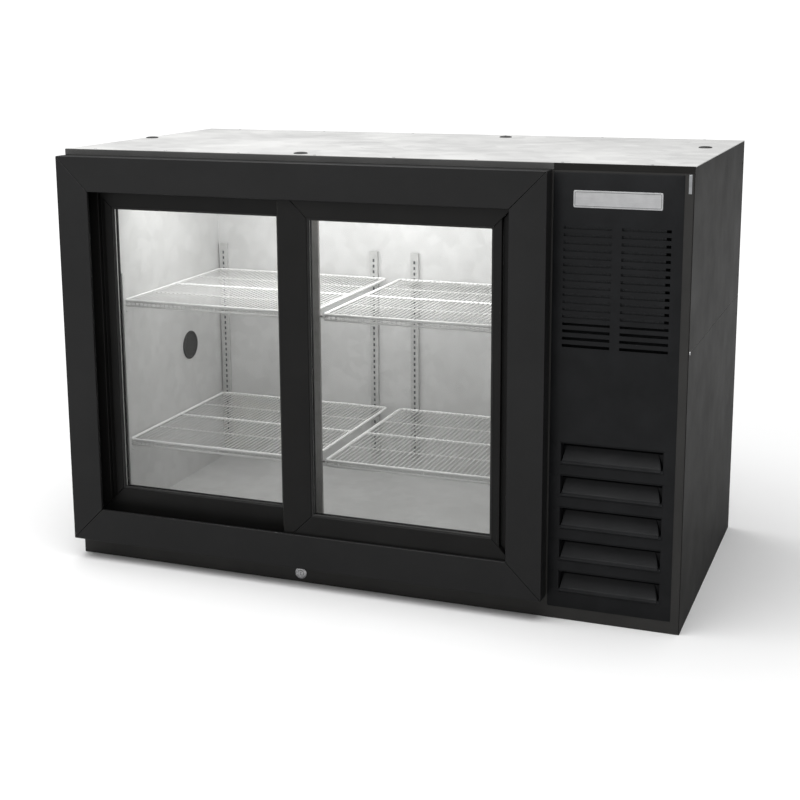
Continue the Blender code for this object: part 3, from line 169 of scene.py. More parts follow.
def turned(profile, centre, axis, count=24):
    """A (radius, height) profile swung about an axis: centre + radius * (cos a, sin a)."""
    profile = np.asarray(profile, float)
    turn = np.linspace(0, 2 * np.pi, count, endpoint=False)
    circle = np.stack([np.cos(turn), np.sin(turn)], -1)
    flat = np.asarray(centre)[None, None] + profile[:, 0, None, None] * circle[None]
    return skin(place(flat, profile[:, 1, None], axis))


def slab(low, high, axis="Z", corner=0.002, edge=0.0006):
    """A block: a rounded rectangle carried along an axis, drawn in by edge at both ends."""
    keep = {"X": (1, 2), "Y": (0, 2), "Z": (0, 1)}[axis]
    k = {"X": 0, "Y": 1, "Z": 2}[axis]
    a, b = np.array(low)[list(keep)], np.array(high)[list(keep)]
    middle, half = (a + b) / 2, (b - a) / 2
    signs = np.array([[-1, -1], [1, -1], [1, 1], [-1, 1]])
    outline = eased(signs * half, min(corner, *(half * 0.9)), 5, closed=True)
    shrink = 1 - edge / half
    flats = np.stack([middle + outline * shrink, middle + outline, middle + outline,
                      middle + outline * shrink])
    heights = np.array([low[k], low[k] + edge, high[k] - edge, high[k]])
    return skin(place(flats, heights[:, None], axis))


def sheet(points, keep, thickness):
    """A grid of points (n, m, 3) as two skins a thickness apart, without the cells that keep leaves out.

    The second skin lies the thickness along the grid's own normals; walls join the skins round every edge.
    """
    n, m = points.shape[:2]
    down, along = np.gradient(points, axis=0), np.gradient(points, axis=1)
    normal = np.cross(down, along)
    normal /= np.linalg.norm(normal, axis=-1)[..., None]
    both = np.vstack([points.reshape(-1, 3), (points + normal * thickness).reshape(-1, 3)])
    grid = np.arange(n * m).reshape(n, m)
    cells = np.stack([grid[:-1, :-1], grid[:-1, 1:], grid[1:, 1:], grid[1:, :-1]], -1)
    face = cells[keep]
    walls = []
    padded = np.pad(keep, 1)
    for (di, dj), (a, b) in (((-1, 0), (0, 1)), ((0, 1), (1, 2)), ((1, 0), (2, 3)), ((0, -1), (3, 0))):
        beyond = padded[1 + di:n + di, 1 + dj:m + dj]
        rim = cells[keep & ~beyond]
        walls.append(np.stack([rim[:, a], rim[:, b], rim[:, b] + n * m, rim[:, a] + n * m], -1))
    quads = np.vstack([face, face[:, ::-1] + n * m] + walls)
    used, quads = np.unique(quads, return_inverse=True)
    return both[used], quads.reshape(-1, 4), np.zeros((0, 3), int)


# ---------------------------------------------------------------- finishes
def fill(socket, value):
    """Joins another node's output to a socket, or sets it to a constant; None leaves it as it is."""
    if isinstance(value, bpy.types.NodeSocket):
        socket.id_data.links.new(value, socket)
    elif value is not None:
        socket.default_value = value


def feed(node, **values):
    """Fills a node's inputs by name."""
    for key, value in values.items():
        fill(node.inputs[key.replace("_", " ")], value)


def adder(tree):
    """A function that adds a node to a tree: its inputs in order, and its settings or inputs by name."""
    def add(kind, *inputs, **values):
        node = tree.nodes.new(kind)
        for key, value in values.items():
            if hasattr(node, key):
                setattr(node, key, value)
            else:
                feed(node, **{key: value})
        for socket, value in zip(node.inputs, inputs):
            fill(socket, value)
        return node

    return add


def new_finish(name):
    """A node material, its shader and the function that adds nodes to it."""
    material = bpy.data.materials.new(name)
    material.use_nodes = True
    return material, material.node_tree.nodes["Principled BSDF"], adder(material.node_tree)


def show(material, surface):
    """Sends a shader to the material's surface."""
    feed(material.node_tree.nodes["Material Output"], Surface=surface)


def pattern(add, scale, detail=4.0, rough=0.55, stretch=(1, 1, 1)):
    """A noise in metres on the object's own coordinates, stretched along the axes."""
    mapping = add("ShaderNodeMapping", add("ShaderNodeTexCoord").outputs["Object"], Scale=stretch)
    return add("ShaderNodeTexNoise", mapping.outputs[0], Scale=scale, Detail=detail,
               Roughness=rough).outputs["Fac"]


def spread(add, value, low, high, start=0.3, end=0.7):
    """Carries a noise value from start..end to low..high."""
    return add("ShaderNodeMapRange", value, From_Min=start, From_Max=end, To_Min=low, To_Max=high).outputs[0]


def tinted(add, value, first, second):
    """Mixes two colours by a 0..1 value."""
    mix = add("ShaderNodeMix", value, data_type="RGBA")
    mix.inputs[6].default_value = (*first, 1)
    mix.inputs[7].default_value = (*second, 1)
    return mix.outputs[2]


def weighed(add, value, weight, base):
    """Adds a weighed value to a base value."""
    return add("ShaderNodeMath", value, weight, base, operation="MULTIPLY_ADD").outputs[0]


def bumped(add, heights):
    """Stacks (height, distance in metres, strength) bumps and returns the last normal."""
    normal = None
    for height, distance, strength in heights:
        bump = add("ShaderNodeBump", Strength=strength, Distance=distance, Height=height, Normal=normal)
        normal = bump.outputs[0]
    return normal


def plain_finish(name, dark, light, rough, metallic=0.0, specular=0.5, cloud=14, grain=900, depth=0.00004,
                 stretch=(1, 1, 1), waver=None):
    """Clouded colour from dark to light, clouded roughness, and a fine grain in relief.

    The cloud and grain are in cells per metre and the depth of the grain is in metres; the waver is the scale
    and depth of a slow unevenness.
    """
    material, shader, add = new_finish(name)
    fine = pattern(add, grain, 3, 0.6, stretch)
    tone = weighed(add, fine, 0.45, pattern(add, cloud, 5, 0.6))
    smears = pattern(add, cloud * 0.6, 6, 0.65)
    reliefs = [(fine, depth, 0.6)]
    if waver:
        reliefs.append((pattern(add, waver[0], 2, 0.4), waver[1], 0.5))
    feed(shader, Metallic=metallic, Specular_IOR_Level=specular, Roughness=spread(add, smears, *rough),
         Base_Color=tinted(add, spread(add, tone, 0, 1, 0.5, 0.95), dark, light), Normal=bumped(add, reliefs))
    return material


def galvanised_finish(name, dark, light, rough, metallic, spangle=42, brush=(1, 1, 1), waver=0.0006):
    """Zinc-coated sheet: crystal cells of differing tone and gloss, fine rolling lines, a slight waviness."""
    material, shader, add = new_finish(name)
    warp, reach = pattern(add, spangle * 0.8, 3, 0.6), 0.012
    where = add("ShaderNodeTexCoord").outputs["Object"]
    shift = add("ShaderNodeVectorMath", warp, (reach, reach, reach), where, operation="MULTIPLY_ADD")
    cells = add("ShaderNodeTexVoronoi", shift.outputs[0], Scale=spangle, Randomness=1.0)
    crystal = add("ShaderNodeSeparateColor", cells.outputs["Color"]).outputs[0]
    lines = pattern(add, 500, 2, 0.5, brush)
    tone = weighed(add, lines, 0.25, weighed(add, crystal, 0.22, pattern(add, 5, 5, 0.6)))
    sway = pattern(add, 6, 1, 0.3)
    feed(shader, Metallic=metallic, Roughness=spread(add, tone, *rough, 0.4, 1.0),
         Base_Color=tinted(add, spread(add, tone, 0, 1, 0.45, 1.0), dark, light),
         Normal=bumped(add, [(lines, 0.00002, 0.5), (sway, waver, 0.5)]))
    return material


def glass_finish(name):
    """Clear pane: it lets light through, with thin smears and its own gloss at low angles."""
    material, shader, add = new_finish(name)
    material.node_tree.nodes.remove(shader)
    smears = pattern(add, 9, 6, 0.7, (1, 1, 0.35))
    clear = add("ShaderNodeBsdfTransparent", tinted(add, spread(add, smears, 0, 1, 0.35, 0.75),
                                                    (0.992, 0.993, 0.992), (0.981, 0.983, 0.981)))
    shine = add("ShaderNodeBsdfGlossy", Roughness=spread(add, smears, 0.01, 0.05))
    index, strength = 1.33, 0.45
    rim = add("ShaderNodeFresnel", IOR=index)
    share = add("ShaderNodeMath", rim.outputs[0], strength, operation="MULTIPLY")
    show(material, add("ShaderNodeMixShader", share.outputs[0], clear.outputs[0],
                       shine.outputs[0]).outputs[0])
    return material


def lamp_finish(name):
    """A frosted lamp cover that glows, its colour and gloss a little clouded."""
    material, shader, add = new_finish(name)
    clouds = pattern(add, 40, 3)
    feed(shader, Base_Color=tinted(add, clouds, (0.85, 0.87, 0.9), (0.95, 0.96, 0.97)),
         Roughness=spread(add, clouds, 0.3, 0.5), Emission_Color=(1.0, 0.98, 0.95, 1), Emission_Strength=3.0)
    return material


POWDER = plain_finish("powder_coat_black", (0.0062, 0.0061, 0.0059), (0.0100, 0.0098, 0.0094), (0.36, 0.50),
                      specular=0.22, cloud=9, grain=1400, depth=0.00003, waver=(11, 0.0002))
SURROUND = plain_finish("anodised_black_surround", (0.0096, 0.0096, 0.0098), (0.0142, 0.0142, 0.0144),
                        (0.32, 0.44), specular=0.28, cloud=7, depth=0.00002, waver=(8, 0.00015))
SIDE = plain_finish("side_panel_black", (0.0165, 0.0161, 0.0151), (0.0205, 0.0199, 0.0188), (0.46, 0.54),
                    specular=0.09, cloud=16, grain=520, depth=0.00003, waver=(3, 0.0010))
MOULDING = plain_finish("grille_moulding", (0.0068, 0.0072, 0.0080), (0.0118, 0.0123, 0.0135), (0.42, 0.58),
                        specular=0.2, cloud=22, grain=1100, depth=0.00006)
FILTER = plain_finish("filter_fabric", (0.0075, 0.0078, 0.0084), (0.0150, 0.0155, 0.0165), (0.6, 0.8),
                      specular=0.15, cloud=260, grain=1500, depth=0.0002)
# the weave behind the grille slots, its tone raised well above the moulding's: painted light that lifts the
# shade inside the slots
SCREEN_PAINTED_LIGHT = plain_finish("slot_screen_weave_painted_light", (0.034, 0.0353, 0.0372), (0.054, 0.0558, 0.0585), (0.5, 0.7),
                      specular=0.2, cloud=320, grain=1900, depth=0.0001)
GALVANISED = galvanised_finish("galvanised_liner", (0.57, 0.57, 0.565), (0.70, 0.70, 0.695), (0.36, 0.56),
                               0.15)
TOP_SHEET = galvanised_finish("galvanised_top", (0.54, 0.54, 0.535), (0.66, 0.66, 0.65), (0.34, 0.50), 0.4,
                              spangle=26, brush=(0.05, 1, 1), waver=0.001)
EPOXY = plain_finish("white_epoxy_wire", (0.80, 0.80, 0.79), (0.90, 0.90, 0.89), (0.28, 0.42), cloud=60,
                     grain=1500, depth=0.00002)
# a greyer copy of the white epoxy for the shelves' fine mesh wires: painted shade for the shadow between the
# thin wires
EPOXY_WIRE_PAINTED_SHADE = plain_finish("fine_epoxy_wire_painted_shade", (0.62, 0.62, 0.61), (0.76, 0.76, 0.75), (0.32, 0.45), cloud=70,
                    grain=1700, depth=0.00001)
FOAM = plain_finish("polyurethane_foam", (0.52, 0.42, 0.22), (0.72, 0.62, 0.40), (0.8, 0.95), cloud=60,
                    depth=0.0004)
GLASS = glass_finish("clear_pane")
RUBBER = plain_finish("black_rubber", (0.006, 0.006, 0.006), (0.014, 0.014, 0.013), (0.55, 0.75), cloud=80,
                      grain=1800, depth=0.00005)
NYLON = plain_finish("white_nylon", (0.55, 0.54, 0.50), (0.75, 0.74, 0.70), (0.35, 0.5), cloud=120,
                     grain=1500)
CHROME = plain_finish("lock_chrome", (0.52, 0.52, 0.53), (0.80, 0.80, 0.81), (0.14, 0.34), metallic=1.0,
                      cloud=160, grain=2500, depth=0.00002)
PLATE = plain_finish("satin_plate", (0.50, 0.50, 0.51), (0.64, 0.645, 0.65), (0.28, 0.42), metallic=0.5,
                     cloud=30, depth=0.00002, stretch=(0.04, 1, 1))
MACHINE = plain_finish("machine_grey", (0.06, 0.065, 0.07), (0.13, 0.135, 0.14), (0.4, 0.6), metallic=0.2,
                       cloud=40)
FINS = plain_finish("aluminium_fins", (0.42, 0.43, 0.44), (0.62, 0.63, 0.64), (0.3, 0.5), metallic=0.9,
                    cloud=30, grain=700, stretch=(1, 1, 0.1))
FAN = plain_finish("stamped_aluminium", (0.34, 0.35, 0.36), (0.5, 0.51, 0.52), (0.3, 0.5), metallic=0.9,
                   cloud=60)
PAN = plain_finish("pan_plastic", (0.02, 0.02, 0.02), (0.035, 0.035, 0.035), (0.4, 0.6), cloud=40, grain=1200)
ENAMEL = plain_finish("compressor_enamel", (0.006, 0.006, 0.007), (0.014, 0.014, 0.015), (0.2, 0.38),
                      cloud=30, grain=600, depth=0.00006)
COPPER = plain_finish("copper_tube", (0.42, 0.17, 0.09), (0.66, 0.33, 0.2), (0.22, 0.42), metallic=1.0,
                      cloud=60, grain=1200)
SPACER = plain_finish("glass_spacer", (0.35, 0.35, 0.35), (0.5, 0.5, 0.49), (0.35, 0.5), metallic=0.7,
                      cloud=80, grain=1500)
STRIP = plain_finish("slotted_strip", (0.45, 0.45, 0.445), (0.57, 0.57, 0.56), (0.35, 0.5), metallic=0.15,
                     cloud=60, stretch=(1, 1, 0.08))
POST = plain_finish("post_grey", (0.22, 0.215, 0.205), (0.31, 0.305, 0.295), (0.4, 0.55), metallic=0.2,
                    cloud=30, stretch=(1, 1, 0.08))
# a lighter copy of the black powder coat for the face frame: painted light that lifts its kick strip out of
# the shade under the surround's overhang
FRAME_PAINTED_LIGHT = plain_finish("frame_black_painted_light", (0.0310, 0.0304, 0.0291), (0.0420, 0.0409, 0.0392), (0.38, 0.52),
                     specular=0.25, cloud=9, grain=1400, depth=0.00003, waver=(11, 0.0002))
# the front fold of the top sheet is a real part; its grey, lighter than the black below, is partly a painted
# highlight along the top's front edge
FLANGE_PAINTED_HIGHLIGHT = plain_finish("top_flange_grey_painted_highlight", (0.066, 0.066, 0.065), (0.092, 0.092, 0.090), (0.35, 0.5),
                      specular=0.35, cloud=12)
# grey of the seam joiner, and of the doors' meeting-edge strips, where it is a painted highlight of the stile
# end faces lit by the inside lamp
GREY_TRIM_AND_LIT_EDGE = plain_finish("grey_trim_and_painted_lit_edge", (0.085, 0.082, 0.076), (0.13, 0.125, 0.117), (0.5, 0.7), specular=0.3,
                    cloud=40, grain=1300)
LAMP = lamp_finish("lamp_cover")

BY_SLOT = {
    "black_powder_coat": POWDER, "black_moulding": MOULDING, "galvanised_steel": GALVANISED,
    "white_epoxy": EPOXY, "foam": FOAM, "door_glass": GLASS, "black_rubber": RUBBER, "white_nylon": NYLON,
    "lock_chrome": CHROME, "satin_plate": PLATE, "machine_grey": MACHINE, "fin_aluminium": FINS,
    "fan_aluminium": FAN, "pan_plastic": PAN, "compressor_enamel": ENAMEL,
}
# the face frame takes the lighter powder-coat copy, painted light
BY_NODE = {"face_frame": FRAME_PAINTED_LIGHT, "top_panel": TOP_SHEET, "left_side_panel": SIDE, "right_panel_lower": SIDE,
           "right_panel_upper": SIDE, "back_panel": SIDE, "rear_vent_panel": SIDE}


def dress_cad():
    """Gives every CAD node the finish of its slot, or its own."""
    for part in frame["record"]["subparts"]:
        thing = frame["nodes"][part["node"]]
        finish = BY_NODE.get(part["node"], BY_SLOT[part["material_slot"]])
        for slot in thing.material_slots:
            slot.link = "OBJECT"
            slot.material = finish


def span(name):
    """The lowest and highest corners of a CAD node as arrays."""
    low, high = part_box(name)
    return np.array(low), np.array(high)


# ---------------------------------------------------------------- bars with mitred corners
def mitred(name, node, side, rect, profile, finish, body, edge):
    """One bar of a frame: a (u, y) profile carried along its side, the ends cut back by u and a small gap."""
    (x0, x1), (z0, z1) = rect
    u, y = np.asarray(profile, float).T
    cut = u + 0.75 * GAP
    across = {"left": x0 + u, "right": x1 - u, "bottom": z0 + u, "top": z1 - u}[side]
    if side in ("left", "right"):
        ends = [np.stack([across, y, z0 + cut], -1), np.stack([across, y, z1 - cut], -1)]
    else:
        ends = [np.stack([x0 + cut, y, across], -1), np.stack([x1 - cut, y, across], -1)]
    m = len(u)
    walls = [[i, (i + 1) % m, m + (i + 1) % m, m + i] for i in range(m)]
    faces = [list(range(m)), list(range(2 * m - 1, m - 1, -1))] + walls
    piece = make_solid(name, np.vstack(ends), faces, finish, body, edge)
    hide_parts(node)


def build_surround():
    """The black surround: a flat lip over the doors and two thin legs back to the cabinet."""
    left, right = span("surround_left"), span("surround_right")
    rect = ((left[0][0], right[1][0]), (left[0][2], left[1][2]))
    front, rear = left[0][1], left[1][1]
    lip, face, leg, wall = front + 0.007, 0.067, 0.036, 0.003
    profile = [(0, front), (face, front), (face, lip), (leg, lip), (leg, rear), (leg - wall, rear),
               (leg - wall, lip), (wall, lip), (wall, rear), (0, rear)]
    for side in ("left", "right", "bottom", "top"):
        mitred(f"surround_bar_{side}", f"surround_{side}", side, rect, profile, SURROUND, "cabinet",
               0.0011)


def build_door(prefix, pull_side):
    """A door's four bars, two panes with their spacer, gasket, edge strip and roller pins; the edge strip's
    light grey is a painted highlight of the lit meeting edge.

    The spacer and the gasket are a small section carried round the corners of a rectangle.
    """
    low, high = span(f"{prefix}_left_stile")
    other = span(f"{prefix}_right_stile")
    rect = ((low[0], other[1][0]), (low[2], high[2]))
    width = high[0] - low[0]
    front, rear = low[1], high[1]
    middle = (front + rear) / 2
    groove, bite = 0.0076, width - 0.0116
    inner = [(width, front), (width, middle - groove), (bite, middle - groove), (bite, middle + groove),
             (width, middle + groove), (width, rear), (0, rear)]
    pull_start, pull_end, pull_depth = 0.029, 0.043, 0.010
    pull = [(pull_start, front), (pull_start, front + pull_depth), (pull_end, front + pull_depth),
            (pull_end, front)]
    plain = [(0, front)] + inner
    wheel, room = 0.016, 0.0038
    channel = [(0, middle + room), (wheel, middle + room), (wheel, middle - room), (0, middle - room)]
    profiles = {"left": plain, "right": plain, "top": plain, "bottom": plain + channel}
    profiles[pull_side] = [(0, front)] + pull + inner
    ends = {"left": "left_stile", "right": "right_stile", "bottom": "bottom_rail", "top": "top_rail"}
    for side, bar in ends.items():
        mitred(f"{prefix}_bar_{side}", f"{prefix}_{bar}", side, rect, profiles[side], POWDER, prefix,
               0.0009)

    low, high = span(f"{prefix}_glass")
    pane = 0.0038
    panes = [slab((low[0], y, low[2]), (high[0], y + pane, high[2]), "Y", 0.004, 0.0006)
             for y in (low[1], high[1] - pane)]
    glass = make_piece(f"{prefix}_panes", panes, GLASS, prefix)
    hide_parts(f"{prefix}_glass")
    inset, bar = 0.011, 0.006
    ring = np.array([[low[0] + inset, low[2] + inset], [high[0] - inset, low[2] + inset],
                     [high[0] - inset, high[2] - inset], [low[0] + inset, high[2] - inset]])
    grow = np.array([[-1, -1], [1, -1], [1, 1], [-1, 1]])
    section = [(0, low[1] + pane), (0, high[1] - pane), (bar, high[1] - pane), (bar, low[1] + pane)]
    rings = np.stack([place(ring + grow * out, depth, "Y") for out, depth in section], 1)
    make_piece(f"{prefix}_spacer", [hoop(rings)], SPACER, prefix)

    bead = span(f"{prefix}_glazing_bead")
    ring = np.array([[bead[0][0], bead[0][2]], [bead[1][0], bead[0][2]], [bead[1][0], bead[1][2]],
                     [bead[0][0], bead[1][2]]])
    turn = np.linspace(0, np.pi / 2, 5)
    bulge, thick = 0.0040, bead[1][1] - bead[0][1]
    section = [(0.0, bead[1][1]), (0.0, bead[0][1])]
    section += [(bulge * math.sin(a), bead[1][1] - thick * math.cos(a)) for a in turn[1:]]
    rings = np.stack([place(ring - grow * out, depth, "Y") for out, depth in section], 1)
    gasket = make_piece(f"{prefix}_gasket", [hoop(rings)], RUBBER, prefix)
    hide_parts(f"{prefix}_glazing_bead")

    edge, way = (rect[0][1], 1) if prefix == "back_door" else (rect[0][0], -1)
    foil, setback, margin = 0.0006, 0.0015, 0.030
    xs = sorted((edge, edge + way * foil))
    strip = slab((xs[0], front + setback, rect[1][0] + margin), (xs[1], rear - setback, rect[1][1] - margin),
                 "Z", 0.0002, 0.0004)
    # the light grey strip on the meeting edge is a painted highlight of the stile's lit end face
    make_piece(f"{prefix}_edge_strip", [strip], GREY_TRIM_AND_LIT_EDGE, prefix)

    pins = []
    thin, thick, reach, chamfer = 0.0013, 0.0015, 0.0055, 0.0005
    profile = [(thin, middle - reach), (thick, middle - reach + chamfer), (thick, middle + reach - chamfer),
               (thin, middle + reach)]
    for side in ("left", "right"):
        low, high = span(f"{prefix}_roller_{side}")
        centre = (low + high) / 2
        pins.append(turned(profile, (centre[0], centre[2]), "Y", 12))
    make_piece(f"{prefix}_roller_pins", pins, CHROME, prefix)


# ---------------------------------------------------------------- shelves
def build_shelf(name):
    """A wire shelf of tubes: a heavy rim, close wires that turn down at the front, cross wires under them.

    A second rail runs below the front of the rim, on three short posts.
    """
    (x0, y0), (x1, y1) = span(name)[0][:2], span(name)[1][:2]
    z1 = span(name)[1][2]
    thick, thin, pitch, margin = 0.0032, 0.0010, 0.0098, 0.010
    rim_z = z1 - thick
    corners = [(x0 + thick, y0 + thick), (x1 - thick, y0 + thick), (x1 - thick, y1 - thick),
               (x0 + thick, y1 - thick)]
    rim = eased(corners, margin, 5, closed=True)
    parts, mesh = [tube(np.c_[rim, np.full(len(rim), rim_z)], thick, sides=8, closed=True)], []
    rail_drop, rail_radius, post_radius, post_inset, ledge = 0.0126, 0.0024, 0.0016, 0.03, 0.003
    rail = z1 - rail_drop
    ys = np.array([y0 + 0.0014, y0 + 0.0014, y0 + 0.0030, y0 + 0.006, (y0 + y1) / 2, y1 - 0.006, y1 - 0.003])
    zs = np.array([rail, rim_z, z1 - 1.4 * thin, z1 - thin, z1 - thin, z1 - thin, z1 - 2 * thin])
    for x in np.linspace(x0 + margin, x1 - margin, int(round((x1 - x0) / pitch))):
        mesh.append(tube(np.stack([np.full(7, x), ys, zs], -1), thin, normal=(1, 0, 0), sides=6))
    heavy, light, inward, beneath = 0.0028, 0.0014, 0.11, 0.0034
    for y, radius, z in (((y0 + y1) / 2, heavy, z1 - heavy), (y0 + inward, light, z1 - beneath),
                         (y1 - inward, light, z1 - beneath)):
        parts.append(tube([(x0 + thick, y, z), ((x0 + x1) / 2, y, z), (x1 - thick, y, z)], radius))
    a, b, front = x0 + 0.004, x1 - 0.004, y0 + 0.0022
    bend = eased([(a, y0 + ledge, rim_z), (a, front, rail), (b, front, rail), (b, y0 + ledge, rim_z)], 0.006,
                 5)
    parts.append(tube(bend, rail_radius, normal=(0, 1, 0), sides=8))
    for x in (x0 + post_inset, (x0 + x1) / 2, x1 - post_inset):
        post = [(x, y0 + 0.0026, rim_z), (x, y0 + 0.0024, (rim_z + rail) / 2), (x, front, rail)]
        parts.append(tube(post, post_radius, normal=(0, 1, 0), sides=6))
    shelf = make_piece(f"{name}_frame", parts, EPOXY, name, angle=ROUND)
    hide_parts(name)
    # the mesh wires take the greyer epoxy copy, painted shade between the thin wires
    make_piece(f"{name}_mesh", mesh, EPOXY_WIRE_PAINTED_SHADE, name, angle=ROUND)


def strip_parts(low, high):
    """A folded strip: its section, a face with two flanges, is carried up and left open at each slot."""
    middle, half = (low[0] + high[0]) / 2, (high[0] - low[0]) / 2
    face, back = low[1], high[1]
    pitch, slot, half_slot, foot, gauge = 0.0127, 0.0070, 0.0022, 0.008, 0.0012
    count = int((high[2] - low[2] - 1.5 * foot) / pitch)
    edges = low[2] + foot + pitch * np.arange(count)
    zs = np.concatenate([[low[2]], np.stack([edges, edges + slot], -1).ravel(), [high[2]]])
    across = np.array([(-half, back), (-half, face), (-half_slot, face), (half_slot, face), (half, face),
                       (half, back)])
    points = np.stack([np.stack([middle + across[:, 0], across[:, 1], np.full(6, z)], -1) for z in zs])
    keep = np.ones((len(zs) - 1, 5), bool)
    keep[1::2, 2] = False
    return sheet(points, keep, gauge)


def build_strips():
    """The slotted strips that hold the shelves, a hooked clip wherever a shelf rests on one, and a dark plate
    inside each strip that is painted shade for its hollow channel.
    """
    depth, below, half, reach, drop = 0.008, 0.0065, 0.006, 0.016, 0.010
    ledge, lap, tongue = 0.0025, 0.001, 0.0022
    inset, shade_plate_depth, short = 0.0018, 0.0030, 0.004
    levels = [span(shelf)[1][2] for shelf in ("shelf_lower_left", "shelf_upper_left")]
    for column in ("outer_left", "middle_left", "middle_right", "outer_right"):
        name = f"back_pilaster_{column}"
        low, high = span(name)
        low = np.array([low[0], high[1] - depth, low[2]])
        parts = [strip_parts(low, high)]
        x, y = (low[0] + high[0]) / 2, low[1]
        for top in np.array(levels) - below:
            parts.append(slab((x - half, y - reach, top - ledge), (x + half, y + lap, top), "Y", 0.001))
            parts.append(slab((x - half, y - tongue, top - drop), (x + half, y, top), "X", 0.0008))
        piece = make_piece(f"{name}_strip", parts, STRIP, "cabinet", angle=30)
        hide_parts(name)
        # a dark plate just behind each strip's face: painted shade, so the slots read as a shadowed hollow
        inner = slab((low[0] + inset, y + inset, low[2] + short),
                     (high[0] - inset, y + shade_plate_depth, high[2] - short), "Z", 0.0004, 0.0003)
        make_piece(f"{name}_painted_shade_plate", [inner], MACHINE, "cabinet")
    low, high = span("front_post")
    middle = (low[0] + high[0]) / 2
    to_left, to_right, post_setback = 0.0120, 0.0030, 0.0004
    parts = [slab((middle - to_left, low[1] + post_setback, low[2]), (middle + to_right, high[1], high[2]),
                  "Z", 0.0015, 0.0006)]
    hook_below, hook_height, hook_setback, hook_rear = 0.0075, 0.004, 0.0020, 0.0012
    hook_middle, root, tip = 0.0045, 0.0065, 0.0190
    for top in np.array(levels) - hook_below:
        for side in (-1, 1):
            hook = sorted((middle - hook_middle + side * root, middle + side * tip))
            parts.append(slab((hook[0], low[1] + hook_setback, top - hook_height),
                              (hook[1], high[1] - hook_rear, top), "X", 0.001))
    piece = make_piece("front_post_bar", parts, POST, "cabinet", angle=30)
    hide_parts("front_post")


